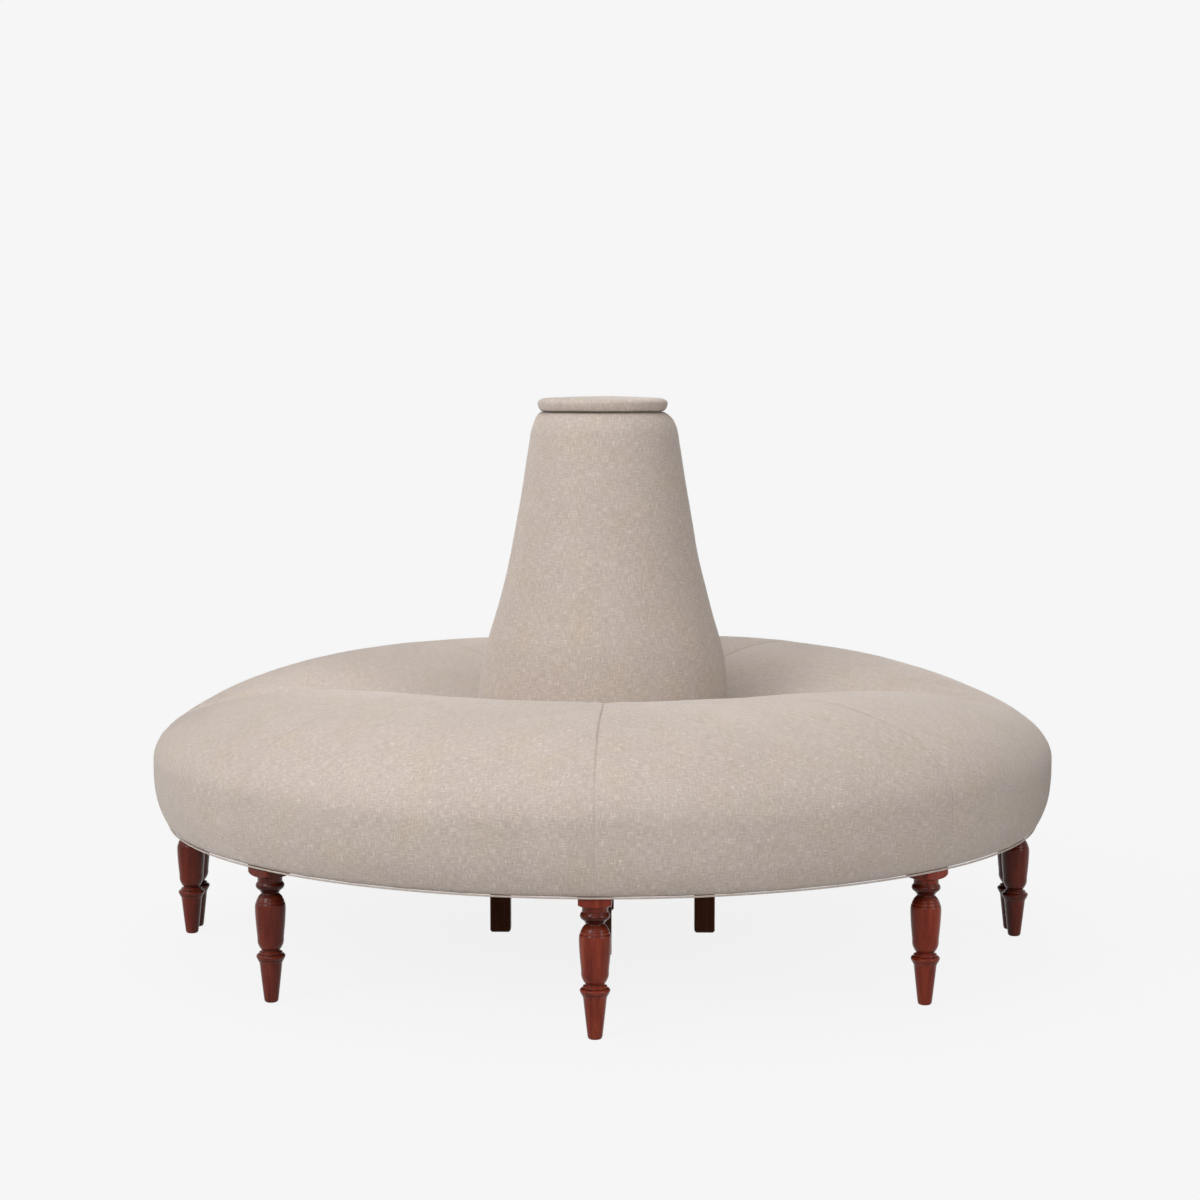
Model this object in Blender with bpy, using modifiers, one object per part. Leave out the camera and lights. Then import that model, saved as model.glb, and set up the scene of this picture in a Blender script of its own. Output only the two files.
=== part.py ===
"""Round conversation sofa: a ring seat in two halves, bolted together around a column back.

The column has a cap that lifts off. Ten turned legs stand under the ring and four plain legs
under the column. Metres, +Z up. The origin is on the floor under the middle of the ring, and
the front is at -Y. An azimuth runs from the front (-Y) towards +X. Both halves are built in
the place of the front one, and the back half is the same pieces turned by half a circle.
"""

from math import asin, cos, pi, radians, sin, sqrt

import bmesh
import bpy
from mathutils import Matrix, Vector

# Fits
GLUE_GAP = 0.0003
HALF_GAP = 0.004
CUT_OVERRUN = 0.01
MERGE_DISTANCE = 0.00005

# Ring of turned legs
LEG_INSET = 0.051
LEG_AZIMUTH = radians(45)
BLOCK_SHOW = 0.0205
TURNED_RADIUS = 0.0226
BLOCK_WIDTH = 0.049
BLOCK_ROUNDING = 0.003
LEG_FACETS = 14
TURNING_SHARES = (
    (0.0, 0.42), (0.012, 0.52), (0.31, 0.76), (0.333, 0.86), (0.36, 0.965), (0.39, 0.85),
    (0.415, 0.64), (0.463, 0.79), (0.60, 0.91), (0.715, 0.995), (0.762, 1.0), (0.795, 0.93),
    (0.82, 0.82), (0.87, 0.66), (0.905, 0.84), (0.938, 0.965), (0.962, 0.855), (1.0, 0.855),
)

# Frame of the ring
HEM_OVERHANG = 0.003
RAIL_HEIGHT = 0.075
OUTER_RAIL_THICKNESS = 0.024
INNER_RAIL_THICKNESS = 0.024
CROSS_RAIL_THICKNESS = 0.022
TONGUE_THICKNESS = 0.010
TONGUE_LENGTH = 0.012
HOUSING_DEPTH = 0.008
RAIL_STEPS = 6

# Webbing and dust cover
WEBBING_THICKNESS = 0.002
STRAP_WIDTH = 0.050
STRAP_BAYS = 8
STRAP_ROWS = 4
WEBBING_SETBACK = 0.002
DUST_COVER_THICKNESS = 0.0015
DUST_COVER_SETBACK = 0.006

# Seat
SEAT_RADIUS = 0.759
SEAT_HEIGHT = 0.459
CREST_INSET = 0.241
BULGE_DROP = 0.1355
HEM_DROP = 0.2485
HEM_TUCK = 0.0219
TROUGH_DEPTH = 0.073
TROUGH_PADDING = 0.038
CROWN_POWER = 1.18
TUCK_POWER = 3.3
TROUGH_POWER = 1.14
PAD_GAP = 0.0012
END_DROP = 0.0755
END_DROP_LENGTH = 0.578
END_DROP_POWER = 3.75
END_DROP_SIDE_POWER = 2.23
END_ROUNDING = 0.010
END_ZONE = 0.070
SEAM_DEPTH = 0.0035
SEAM_WIDTH = 0.012
SEAM_LEAN = radians(8.5)
SEAM_LEAN_INSET = 0.030
SEAM_LEAN_LENGTH = 0.290
PANEL_STEPS = 6
END_PANEL_STEPS = 5
WELT_RADIUS = 0.0017
WELT_STEPS = 36
BASE_FOAM_INSET = 0.042
CROWN_STEPS = 8
TROUGH_STEPS = 6
TUCK_SHARES = (0.4, 0.7, 0.88, 1.0)
END_STATION_SHARES = (1.0, 0.55, 0.25, 0.12, 0.035, 0.0)

# Column
COLUMN_BASE_RADIUS = 0.214
COLUMN_HEIGHT = 0.8945
FLARE_LENGTH = 0.141
FLARE_INSET = 0.0215
FLARE_SLOPE = -0.31
SHOULDER_DROP = 0.0285
SHOULDER_RADIUS = 0.1235
SHOULDER_SLOPE = -0.15
COLUMN_RIM_WIDTH = 0.0045
COLUMN_PAD_THICKNESS = 0.0185
COLUMN_FACETS = 28
INNER_RAIL_CLEARANCE = 0.0055
BASE_BOARD_LEDGE = 0.020
BASE_BOARD_THICKNESS = 0.022
SHOULDER_PADDING = 0.0235
TOP_RING_WIDTH = 0.034
TOP_RING_THICKNESS = 0.018
RIB_COUNT = 6
RIB_AZIMUTH = radians(15)
RIB_THICKNESS = 0.018
RIB_FOOT_WIDTH = 0.064
RIB_TOP_SETBACK = 0.006
RIB_TAB_SETBACK = 0.008
RIB_TAB_WIDTH = 0.030

# Inner legs
INNER_LEG_INSET = 0.038
INNER_LEG_WIDTH = 0.035
INNER_LEG_ROUNDING = 0.003
SPIGOT_RADIUS = 0.0125
SPIGOT_FACETS = 12

# Cap
CAP_BOARD_INSET = 0.006
CAP_BOARD_THICKNESS = 0.012
CAP_OVERHANG = 0.0103
CAP_UNDERCUT = 0.0093
CAP_ROUNDING = 0.0133
CAP_THICKNESS = 0.0247
CAP_WIDEST_HEIGHT = 0.0147
CAP_STEPS = 4
PLUG_CLEARANCE = 0.003
PLUG_THICKNESS = 0.016

# Connector bolts through the joint rails
BOLT_RADIUS = 0.004
BOLT_HEAD_RADIUS = 0.0085
BOLT_HEAD_THICKNESS = 0.003
BOLT_FACETS = 10
INNER_BOLT_SPACING = 0.0865
OUTER_BOLT_SPACING = 0.1065

# Worked out from the sizes above
HEM_HEIGHT = SEAT_HEIGHT - HEM_DROP
HEM_RADIUS = SEAT_RADIUS - HEM_TUCK
SEAT_CREST_RADIUS = SEAT_RADIUS - CREST_INSET
SEAT_BULGE_HEIGHT = SEAT_HEIGHT - BULGE_DROP
TROUGH_HEIGHT = SEAT_HEIGHT - TROUGH_DEPTH
BASE_FOAM_TOP = TROUGH_HEIGHT - TROUGH_PADDING
RAIL_BOTTOM = HEM_HEIGHT + HEM_OVERHANG
RAIL_TOP = RAIL_BOTTOM + RAIL_HEIGHT
TURNED_HEIGHT = RAIL_BOTTOM - BLOCK_SHOW
LEG_RING_RADIUS = SEAT_RADIUS - LEG_INSET
BLOCK_FLAT = BLOCK_WIDTH / 2 - BLOCK_ROUNDING
RAIL_OUTER = sqrt((LEG_RING_RADIUS + BLOCK_WIDTH / 2) ** 2 + BLOCK_FLAT ** 2)
RAIL_MIDDLE = RAIL_OUTER - OUTER_RAIL_THICKNESS / 2
RAIL_INNER = RAIL_OUTER - OUTER_RAIL_THICKNESS
HALF_SETBACK = HALF_GAP / 2
BLOCK_REACH = BLOCK_WIDTH / 2 + GLUE_GAP
END_LEG_OFFSET = HALF_SETBACK + BLOCK_WIDTH / 2
END_LEG_REACH = sqrt(RAIL_OUTER ** 2 - (END_LEG_OFFSET + BLOCK_FLAT) ** 2) - BLOCK_WIDTH / 2
JOINT_RAIL_OFFSET = HALF_SETBACK + CROSS_RAIL_THICKNESS / 2
INNER_RAIL_INNER = COLUMN_BASE_RADIUS + INNER_RAIL_CLEARANCE
INNER_RAIL_OUTER = INNER_RAIL_INNER + INNER_RAIL_THICKNESS
HOUSING_FLOOR = INNER_RAIL_OUTER - HOUSING_DEPTH
BOARD_TOP = RAIL_BOTTOM + BASE_BOARD_THICKNESS
BASE_BOARD_RADIUS = COLUMN_BASE_RADIUS + BASE_BOARD_LEDGE
INNER_LEG_RADIUS = COLUMN_BASE_RADIUS - INNER_LEG_INSET
COLUMN_FOOT_HEIGHT = TROUGH_HEIGHT
FLARE_HEIGHT = COLUMN_FOOT_HEIGHT + FLARE_LENGTH
FLARE_RADIUS = COLUMN_BASE_RADIUS - FLARE_INSET
SHOULDER_HEIGHT = COLUMN_HEIGHT - SHOULDER_DROP
TOP_RING_RADIUS = SHOULDER_RADIUS - SHOULDER_PADDING
TOP_RING_HOLE_RADIUS = TOP_RING_RADIUS - TOP_RING_WIDTH
RIB_FOOT_RADIUS = COLUMN_BASE_RADIUS - RIB_FOOT_WIDTH
RIB_TAB_START = RIB_FOOT_RADIUS + RIB_TAB_SETBACK
RIB_TOP_RADIUS = TOP_RING_HOLE_RADIUS + RIB_TOP_SETBACK
WEBBING_BOTTOM = RAIL_TOP + GLUE_GAP
WEBBING_TOP = WEBBING_BOTTOM + WEBBING_THICKNESS
DECK_HEIGHT = WEBBING_TOP + GLUE_GAP
COLUMN_RIM_RADIUS = TOP_RING_RADIUS + GLUE_GAP + COLUMN_RIM_WIDTH
TOP_RING_TOP = COLUMN_HEIGHT + 2 * GLUE_GAP
TOP_RING_BOTTOM = TOP_RING_TOP - TOP_RING_THICKNESS
CAP_BOTTOM = TOP_RING_TOP + GLUE_GAP
CAP_BOARD_RADIUS = TOP_RING_RADIUS - CAP_BOARD_INSET
CAP_RADIUS = TOP_RING_RADIUS + CAP_OVERHANG
CAP_BOTTOM_RADIUS = CAP_RADIUS - CAP_UNDERCUT
CAP_FLAT_RADIUS = CAP_RADIUS - CAP_ROUNDING
PAD_BOTTOM = HEM_HEIGHT + 2 * WELT_RADIUS + GLUE_GAP
PAD_CHORD = cos(LEG_AZIMUTH / PANEL_STEPS / 2)
BOLT_HEIGHT = (RAIL_BOTTOM + RAIL_TOP) / 2
BOLT_DISTANCES = {
    "inner": INNER_RAIL_OUTER + INNER_BOLT_SPACING,
    "outer": END_LEG_REACH - OUTER_BOLT_SPACING,
}
HALF_TURN = pi
RIGHT_ANGLE = pi / 2

LEGS = (
    ("left_end", -RIGHT_ANGLE, END_LEG_OFFSET, END_LEG_REACH, (1,)),
    ("left", -LEG_AZIMUTH, 0, LEG_RING_RADIUS, (-1, 1)),
    ("middle", 0, 0, LEG_RING_RADIUS, (-1, 1)),
    ("right", LEG_AZIMUTH, 0, LEG_RING_RADIUS, (-1, 1)),
    ("right_end", RIGHT_ANGLE, -END_LEG_OFFSET, END_LEG_REACH, (-1,)),
)
OUTER_RAILS = ("left_end", "left", "right", "right_end")
MIRRORED_SIDE = {"left": "right", "right": "left", "middle": "middle"}


def clear_scene():
    for item in list(bpy.data.objects):
        bpy.data.objects.remove(item, do_unlink=True)


def new_collection(name):
    collection = bpy.data.collections.new(name)
    bpy.context.scene.collection.children.link(collection)
    return collection


def new_material(name, color, roughness, metallic=0.0):
    material = bpy.data.materials.new(name)
    material.diffuse_color = (*color, 1.0)
    material.use_nodes = True
    shader = material.node_tree.nodes["Principled BSDF"]
    shader.inputs["Base Color"].default_value = (*color, 1.0)
    shader.inputs["Roughness"].default_value = roughness
    shader.inputs["Metallic"].default_value = metallic
    return material


def place(data, name, material, parent, location=(0, 0, 0), rotation=(0, 0, 0)):
    """A named object in the sofa's collection, under an empty."""
    item = bpy.data.objects.new(name, data)
    SOFA.objects.link(item)
    item.parent = parent
    item.location = location
    item.rotation_euler = rotation
    if material.name not in data.materials:
        data.materials.append(material)
    return item


def smooth(mesh):
    mesh.shade_smooth()
    mesh.set_sharp_from_angle(angle=radians(40))
    return mesh


def spread(start, end, steps):
    return [start + (end - start) * i / steps for i in range(steps + 1)]


# Points in plan

def at(azimuth, outward, along=0.0):
    """A plan point, outward along the line at an azimuth and then sideways from it."""
    return (outward * sin(azimuth) + along * cos(azimuth), along * sin(azimuth) - outward * cos(azimuth))


def on_circle(radius, azimuth, along):
    """Where a line beside the radial line at an azimuth meets a circle, as an azimuth."""
    return azimuth + asin(along / radius)


def arc(radius, start, end, steps):
    return [at(azimuth, radius) for azimuth in spread(start, end, steps)]


def circle(radius, facets, center=(0, 0)):
    return [
        (center[0] + radius * cos(2 * pi * i / facets), center[1] + radius * sin(2 * pi * i / facets))
        for i in range(facets)
    ]


def half_ring(inner_radius, outer_radius, setback, notches, steps):
    """Plan outline of half a ring, its ends set back from the line of the joint.

    A notch is (azimuth, distance of its floor, start, end), the last two measured sideways.
    The first and last notches open at the ends.
    """
    points = []
    previous = on_circle(outer_radius, -RIGHT_ANGLE, setback)
    for azimuth, floor, start, end in notches:
        if azimuth > -RIGHT_ANGLE:
            reach = on_circle(outer_radius, azimuth, start)
            points += arc(outer_radius, previous, reach, steps)
        points += [at(azimuth, floor, start), at(azimuth, floor, end)]
        previous = on_circle(outer_radius, azimuth, end)
    if not notches:
        points += arc(outer_radius, previous, -previous, steps)
    inner_end = -on_circle(inner_radius, -RIGHT_ANGLE, setback)
    return points + arc(inner_radius, inner_end, -inner_end, 4 * steps if notches else steps)


def outline_curve(name, outlines, thickness):
    """A flat outline, with any holes as further outlines, given a thickness."""
    curve = bpy.data.curves.new(name, "CURVE")
    curve.dimensions = "2D"
    curve.fill_mode = "BOTH"
    curve.extrude = thickness / 2
    for points in outlines:
        spline = curve.splines.new("POLY")
        spline.points.add(len(points) - 1)
        for point, (x, y) in zip(spline.points, points):
            point.co = (x, y, 0, 1)
        spline.use_cyclic_u = True
    return curve


def slab(name, material, outlines, bottom, top, parent):
    """A board, sheet or block cut to a plan outline, between two heights."""
    curve = outline_curve(name, outlines, top - bottom)
    return place(curve, name, material, parent, (0, 0, (bottom + top) / 2))


# Turned and joined meshes

def turned(name, profile, facets, closed=False):
    """A body of revolution about Z, from (radius, height) points that run from top to bottom."""
    mesh = bpy.data.meshes.new(name)
    edges = [(i, i + 1) for i in range(len(profile) - 1)]
    if closed:
        edges.append((len(profile) - 1, 0))
    mesh.from_pydata([(radius, 0, height) for radius, height in profile], edges, [])
    item = bpy.data.objects.new(name, mesh)
    CUTTERS.objects.link(item)
    screw = item.modifiers.new("Turn", "SCREW")
    screw.steps = facets
    screw.render_steps = facets
    screw.use_merge_vertices = True
    screw.merge_threshold = MERGE_DISTANCE
    return item


def box(name, low, high):
    """A box between two corners."""
    mesh = bpy.data.meshes.new(name)
    shape = bmesh.new()
    bmesh.ops.create_cube(shape, size=1)
    size = Vector(high) - Vector(low)
    middle = (Vector(high) + Vector(low)) / 2
    matrix = Matrix.Translation(middle) @ Matrix.Diagonal((*size, 1))
    bmesh.ops.transform(shape, matrix=matrix, verts=shape.verts)
    shape.to_mesh(mesh)
    shape.free()
    item = bpy.data.objects.new(name, mesh)
    CUTTERS.objects.link(item)
    return item


def round_edges(item, width):
    bevel = item.modifiers.new("Rounded edges", "BEVEL")
    bevel.width = width
    bevel.segments = 1
    bevel.limit_method = "ANGLE"


def combine(item, tool, operation):
    """Join a tool to an item, or cut it out. The tool stays as a hidden guide."""
    boolean = item.modifiers.new(tool.name, "BOOLEAN")
    boolean.operation = operation
    boolean.solver = "EXACT"
    boolean.object = tool
    tool.hide_render = True
    tool.display_type = "WIRE"


def finished_mesh(item, name):
    """The shape of an item with its modifiers, welded, for pieces that share it."""
    bpy.context.view_layer.update()
    depsgraph = bpy.context.evaluated_depsgraph_get()
    mesh = bpy.data.meshes.new_from_object(item.evaluated_get(depsgraph))
    mesh.name = name
    shape = bmesh.new()
    shape.from_mesh(mesh)
    bmesh.ops.remove_doubles(shape, verts=shape.verts, dist=MERGE_DISTANCE)
    shape.to_mesh(mesh)
    shape.free()
    bpy.data.objects.remove(item, do_unlink=True)
    return smooth(mesh)


def loft(name, stations):
    """A closed body through stations that each have the same number of points in a loop."""
    shape = bmesh.new()
    rings = [[shape.verts.new(point) for point in station] for station in stations]
    count = len(stations[0])
    for first, second in zip(rings, rings[1:]):
        for i in range(count):
            j = (i + 1) % count
            shape.faces.new((first[i], first[j], second[j], second[i]))
    shape.faces.new(reversed(rings[0]))
    shape.faces.new(rings[-1])
    bmesh.ops.recalc_face_normals(shape, faces=shape.faces)
    mesh = bpy.data.meshes.new(name)
    shape.to_mesh(mesh)
    shape.free()
    return smooth(mesh)


# Turned legs

def rail_reach(offset):
    """How far out the middle of the outer rail is, at an offset from a radial line."""
    return sqrt(RAIL_MIDDLE ** 2 - offset ** 2)


def leg_mesh(name, offset, reach, sides):
    """A turned leg with its block, outward along -Y, grooved for the rails that meet it."""
    profile = [(0, RAIL_BOTTOM)]
    profile += [(share * TURNED_RADIUS, height * TURNED_HEIGHT) for height, share in reversed(TURNING_SHARES)]
    profile[1] = (profile[1][0], RAIL_BOTTOM)
    profile.append((0, 0))
    half = BLOCK_WIDTH / 2
    leg = box(name, (-half, -half, TURNED_HEIGHT), (half, half, RAIL_TOP))
    round_edges(leg, BLOCK_ROUNDING)
    combine(leg, turned(name + "_turning", profile, LEG_FACETS), "UNION")
    groove = TONGUE_THICKNESS / 2 + GLUE_GAP
    depth = half - TONGUE_LENGTH - GLUE_GAP
    floor = RAIL_BOTTOM - GLUE_GAP
    top = RAIL_TOP + CUT_OVERRUN
    for side in sides:
        outward = rail_reach(abs(offset) + BLOCK_REACH) - reach
        ends = sorted((side * depth, side * (half + CUT_OVERRUN)))
        cutter = box(
            name + "_rail_groove", (ends[0], -outward - groove, floor), (ends[1], groove - outward, top)
        )
        combine(leg, cutter, "DIFFERENCE")
    middle = 0
    if offset:
        middle = JOINT_RAIL_OFFSET * (1 if offset > 0 else -1) - offset
    cutter = box(
        name + "_cross_groove", (middle - groove, depth, floor), (middle + groove, half + CUT_OVERRUN, top)
    )
    combine(leg, cutter, "DIFFERENCE")
    return finished_mesh(leg, name)


# Frame of one half

def outer_rail_outline(first, second):
    """Plan of a curved rail with a tongue at each end, between two legs."""
    start_azimuth, start = first[1], first[2] + BLOCK_REACH
    end_azimuth, end = second[1], second[2] - BLOCK_REACH
    half = TONGUE_THICKNESS / 2
    start_reach, end_reach = rail_reach(start), rail_reach(end)
    points = arc(
        RAIL_OUTER,
        on_circle(RAIL_OUTER, start_azimuth, start),
        on_circle(RAIL_OUTER, end_azimuth, end),
        RAIL_STEPS,
    )
    points += [
        at(end_azimuth, end_reach + half, end),
        at(end_azimuth, end_reach + half, end + TONGUE_LENGTH),
        at(end_azimuth, end_reach - half, end + TONGUE_LENGTH),
        at(end_azimuth, end_reach - half, end),
    ]
    points += arc(
        RAIL_INNER,
        on_circle(RAIL_INNER, end_azimuth, end),
        on_circle(RAIL_INNER, start_azimuth, start),
        RAIL_STEPS,
    )
    points += [
        at(start_azimuth, start_reach - half, start),
        at(start_azimuth, start_reach - half, start - TONGUE_LENGTH),
        at(start_azimuth, start_reach + half, start - TONGUE_LENGTH),
        at(start_azimuth, start_reach + half, start),
    ]
    return points


def cross_rail_outline(azimuth, along, reach):
    """Plan of a straight rail from the inner rail's housing to a leg's groove."""
    start = HOUSING_FLOOR + GLUE_GAP
    end = reach - BLOCK_REACH
    side, half = CROSS_RAIL_THICKNESS / 2, TONGUE_THICKNESS / 2
    corners = (
        (start, -side), (end, -side), (end, -half), (end + TONGUE_LENGTH, -half),
        (end + TONGUE_LENGTH, half), (end, half), (end, side), (start, side),
    )
    return [at(azimuth, outward, along + sideways) for outward, sideways in corners]


def inner_rail_outline():
    """Plan of the curved inner rail, with a housing for each cross rail and joint rail."""
    side = CROSS_RAIL_THICKNESS / 2 + GLUE_GAP
    end = HALF_SETBACK + CROSS_RAIL_THICKNESS + GLUE_GAP
    notches = [(-RIGHT_ANGLE, HOUSING_FLOOR, HALF_SETBACK, end)]
    notches += [(azimuth, HOUSING_FLOOR, -side, side) for azimuth in (-LEG_AZIMUTH, 0, LEG_AZIMUTH)]
    notches.append((RIGHT_ANGLE, HOUSING_FLOOR, -end, -HALF_SETBACK))
    return half_ring(INNER_RAIL_INNER, INNER_RAIL_OUTER, HALF_SETBACK, notches, RAIL_STEPS // 2)


def dust_cover_outline():
    """Plan of the dust cover, with a notch round the block of each leg."""
    end = END_LEG_OFFSET + BLOCK_REACH
    notches = [(-RIGHT_ANGLE, END_LEG_REACH - BLOCK_REACH, HALF_SETBACK, end)]
    for azimuth in (-LEG_AZIMUTH, 0, LEG_AZIMUTH):
        notches.append((azimuth, LEG_RING_RADIUS - BLOCK_REACH, -BLOCK_REACH, BLOCK_REACH))
    notches.append((RIGHT_ANGLE, END_LEG_REACH - BLOCK_REACH, -end, -HALF_SETBACK))
    inner, outer = BASE_BOARD_RADIUS + DUST_COVER_SETBACK, RAIL_OUTER - DUST_COVER_SETBACK
    return half_ring(inner, outer, HALF_SETBACK, notches, RAIL_STEPS // 2)


def webbing_outlines():
    """Plan of the webbing: an edge all round, and the openings between the straps."""
    inner, outer = INNER_RAIL_INNER + WEBBING_SETBACK, RAIL_OUTER - WEBBING_SETBACK
    outlines = [half_ring(inner, outer, HALF_SETBACK, (), 2 * STRAP_BAYS)]
    first, last = INNER_RAIL_OUTER, RAIL_INNER
    opening = (last - first - (STRAP_ROWS - 1) * STRAP_WIDTH) / STRAP_ROWS
    half = STRAP_WIDTH / 2
    bay = HALF_TURN / STRAP_BAYS
    for i in range(STRAP_BAYS):
        left = -RIGHT_ANGLE + i * bay
        for row in range(STRAP_ROWS):
            low = first + row * (opening + STRAP_WIDTH)
            corners = (
                (low, left, half), (low + opening, left, half),
                (low + opening, left + bay, -half), (low, left + bay, -half),
            )
            outlines.append([at(on_circle(*corner), corner[0]) for corner in corners])
    return outlines


def board_mesh(name, outline, thickness, height):
    """A welded mesh of a board in its place, for a board that is cut."""
    flat = bpy.data.objects.new(name, outline_curve(name, [outline], thickness))
    CUTTERS.objects.link(flat)
    mesh = finished_mesh(flat, name)
    mesh.transform(Matrix.Translation((0, 0, height)))
    return mesh


def joint_rail_mesh(name, azimuth, along):
    """A joint rail with its bolt holes, at the end of a half."""
    outline = cross_rail_outline(azimuth, along, END_LEG_REACH)
    rail = bpy.data.objects.new(name, board_mesh(name, outline, RAIL_HEIGHT, BOLT_HEIGHT))
    CUTTERS.objects.link(rail)
    radius = BOLT_RADIUS + GLUE_GAP
    reach = CROSS_RAIL_THICKNESS / 2 + CUT_OVERRUN
    for label, distance in BOLT_DISTANCES.items():
        profile = [(0, reach), (radius, reach), (radius, -reach), (0, -reach)]
        hole = turned(name + "_hole_" + label, profile, BOLT_FACETS)
        hole.rotation_euler = (RIGHT_ANGLE, 0, 0)
        hole.location = (*at(azimuth, distance, along), BOLT_HEIGHT)
        combine(rail, hole, "DIFFERENCE")
    return finished_mesh(rail, name)


# Upholstery of one half

def sink_share(height):
    """How much of the crest's sinking towards the joint a height on the crown takes."""
    rise = max(height - SEAT_BULGE_HEIGHT, 0) / (SEAT_HEIGHT - SEAT_BULGE_HEIGHT)
    return rise ** END_DROP_SIDE_POWER


def seat_outline():
    """Section of the seat pad, from the hem over the crest to the column and back underneath.

    A point is (radius, height, softness, sink). Softness is how much of a seam's dip or an end's
    rounding it takes, and sink is its share of the sinking towards the joint.
    """
    points = []
    for share in reversed(TUCK_SHARES):
        radius = SEAT_RADIUS - (SEAT_RADIUS - HEM_RADIUS) * share ** TUCK_POWER
        height = SEAT_BULGE_HEIGHT - (SEAT_BULGE_HEIGHT - PAD_BOTTOM) * share
        points.append((radius, height, 1 - share, 0))
    for i in range(CROWN_STEPS + 1):
        turn = RIGHT_ANGLE * (1 - i / CROWN_STEPS)
        radius = SEAT_CREST_RADIUS + (SEAT_RADIUS - SEAT_CREST_RADIUS) * sin(turn) ** CROWN_POWER
        height = SEAT_BULGE_HEIGHT + (SEAT_HEIGHT - SEAT_BULGE_HEIGHT) * max(cos(turn), 0) ** CROWN_POWER
        points.append((radius, height, 1, sink_share(height)))
    wall = (COLUMN_BASE_RADIUS + GLUE_GAP) / PAD_CHORD
    skirt = (RAIL_OUTER + GLUE_GAP) / PAD_CHORD
    for i in range(1, TROUGH_STEPS + 1):
        turn = RIGHT_ANGLE * i / TROUGH_STEPS
        radius = SEAT_CREST_RADIUS - (SEAT_CREST_RADIUS - wall) * sin(turn) ** TROUGH_POWER
        height = TROUGH_HEIGHT + (SEAT_HEIGHT - TROUGH_HEIGHT) * max(cos(turn), 0) ** TROUGH_POWER
        points.append((radius, height, 1 - i / TROUGH_STEPS, sink_share(height)))
    foam_inner, foam_outer = base_foam_radii()
    points += [
        (wall, DECK_HEIGHT, 0, 0),
        (foam_inner - GLUE_GAP, DECK_HEIGHT, 0, 0),
        (foam_inner - GLUE_GAP, BASE_FOAM_TOP + GLUE_GAP, 0, 0),
        (foam_outer + GLUE_GAP, BASE_FOAM_TOP + GLUE_GAP, 0, 0),
        (foam_outer + GLUE_GAP, DECK_HEIGHT, 0, 0),
        (skirt, DECK_HEIGHT, 0, 0),
        (skirt, PAD_BOTTOM, 0, 0),
    ]
    return points


def base_foam_radii():
    return COLUMN_BASE_RADIUS + BASE_FOAM_INSET, RAIL_OUTER - BASE_FOAM_INSET


def end_set_back(radius, azimuth):
    """An azimuth on the pad, drawn in so that the ends of the pad leave a gap along the joint."""
    return azimuth * (1 - asin(PAD_GAP / 2 / radius) / RIGHT_ANGLE)


def base_foam_outline():
    """Plan of the base foam, with the pad's own stations so that the two lie parallel."""
    inner, outer = base_foam_radii()
    azimuths = pad_azimuths()
    points = [at(end_set_back(outer, azimuth), outer) for azimuth in azimuths]
    return points + [at(end_set_back(inner, azimuth), inner) for azimuth in reversed(azimuths)]


def outline_normals(outline):
    """Outward normals of the section, from each point's neighbours in the loop."""
    normals = []
    for i in range(len(outline)):
        before, after = outline[i - 1], outline[(i + 1) % len(outline)]
        along = Vector((after[0] - before[0], after[1] - before[1])).normalized()
        normals.append(Vector((along.y, -along.x)))
    return normals


def seam_dip(radius, azimuth):
    """Depth of the stitched seams at a point, before they lean."""
    dip = 0
    for seam in (-LEG_AZIMUTH, 0, LEG_AZIMUTH):
        distance = abs(radius * (azimuth - seam))
        dip = max(dip, SEAM_DEPTH * (1 - distance / SEAM_WIDTH))
    return dip


def seam_lean(radius, azimuth):
    """Turn of the slanting seams, and of the stations beside them, towards the middle of a half."""
    share = min(max((SEAT_RADIUS - SEAM_LEAN_INSET - radius) / SEAM_LEAN_LENGTH, 0), 1)
    return SEAM_LEAN * share * share * (3 - 2 * share) * sin(2 * azimuth)


def pad_point(point, normal, azimuth):
    """A point of the seat pad, dipped at the seams and rounded at the ends.

    Towards the joint the crest sinks, and the sides of the crown sink less. The lean fades out
    in the trough, so that the wall beside the column keeps its even facets.
    """
    radius, height, softness, sink = point
    azimuth = end_set_back(radius, azimuth)
    inward = seam_dip(radius, azimuth)
    azimuth -= seam_lean(radius, azimuth) * min(2 * softness, 1)
    distance = max(radius * cos(azimuth) - PAD_GAP / 2, 0)
    if distance < END_ROUNDING:
        inward += END_ROUNDING * (1 - sqrt(1 - (1 - distance / END_ROUNDING) ** 2))
    radius -= normal.x * inward * softness
    height -= normal.y * inward * softness
    height -= END_DROP * sink * max(1 - distance / END_DROP_LENGTH, 0) ** END_DROP_POWER
    return (*at(azimuth, radius), height)


def pad_azimuths():
    """Azimuths of the stations along the pad: close at the seams and the ends, wide between."""
    seam = SEAM_WIDTH / SEAT_CREST_RADIUS
    zone = END_ZONE / SEAT_CREST_RADIUS
    ends = [RIGHT_ANGLE - share * zone for share in END_STATION_SHARES]
    panel = spread(seam, LEG_AZIMUTH - seam, PANEL_STEPS)
    end_panel = spread(LEG_AZIMUTH + seam, ends[0], END_PANEL_STEPS)
    right = panel + [LEG_AZIMUTH] + end_panel + ends[1:]
    return [-azimuth for azimuth in reversed(right)] + [0] + right


def seat_pad_mesh():
    outline = seat_outline()
    normals = outline_normals(outline)
    stations = [
        [pad_point(point, normal, azimuth) for point, normal in zip(outline, normals)]
        for azimuth in pad_azimuths()
    ]
    return loft("seat_pad", stations)


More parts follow.
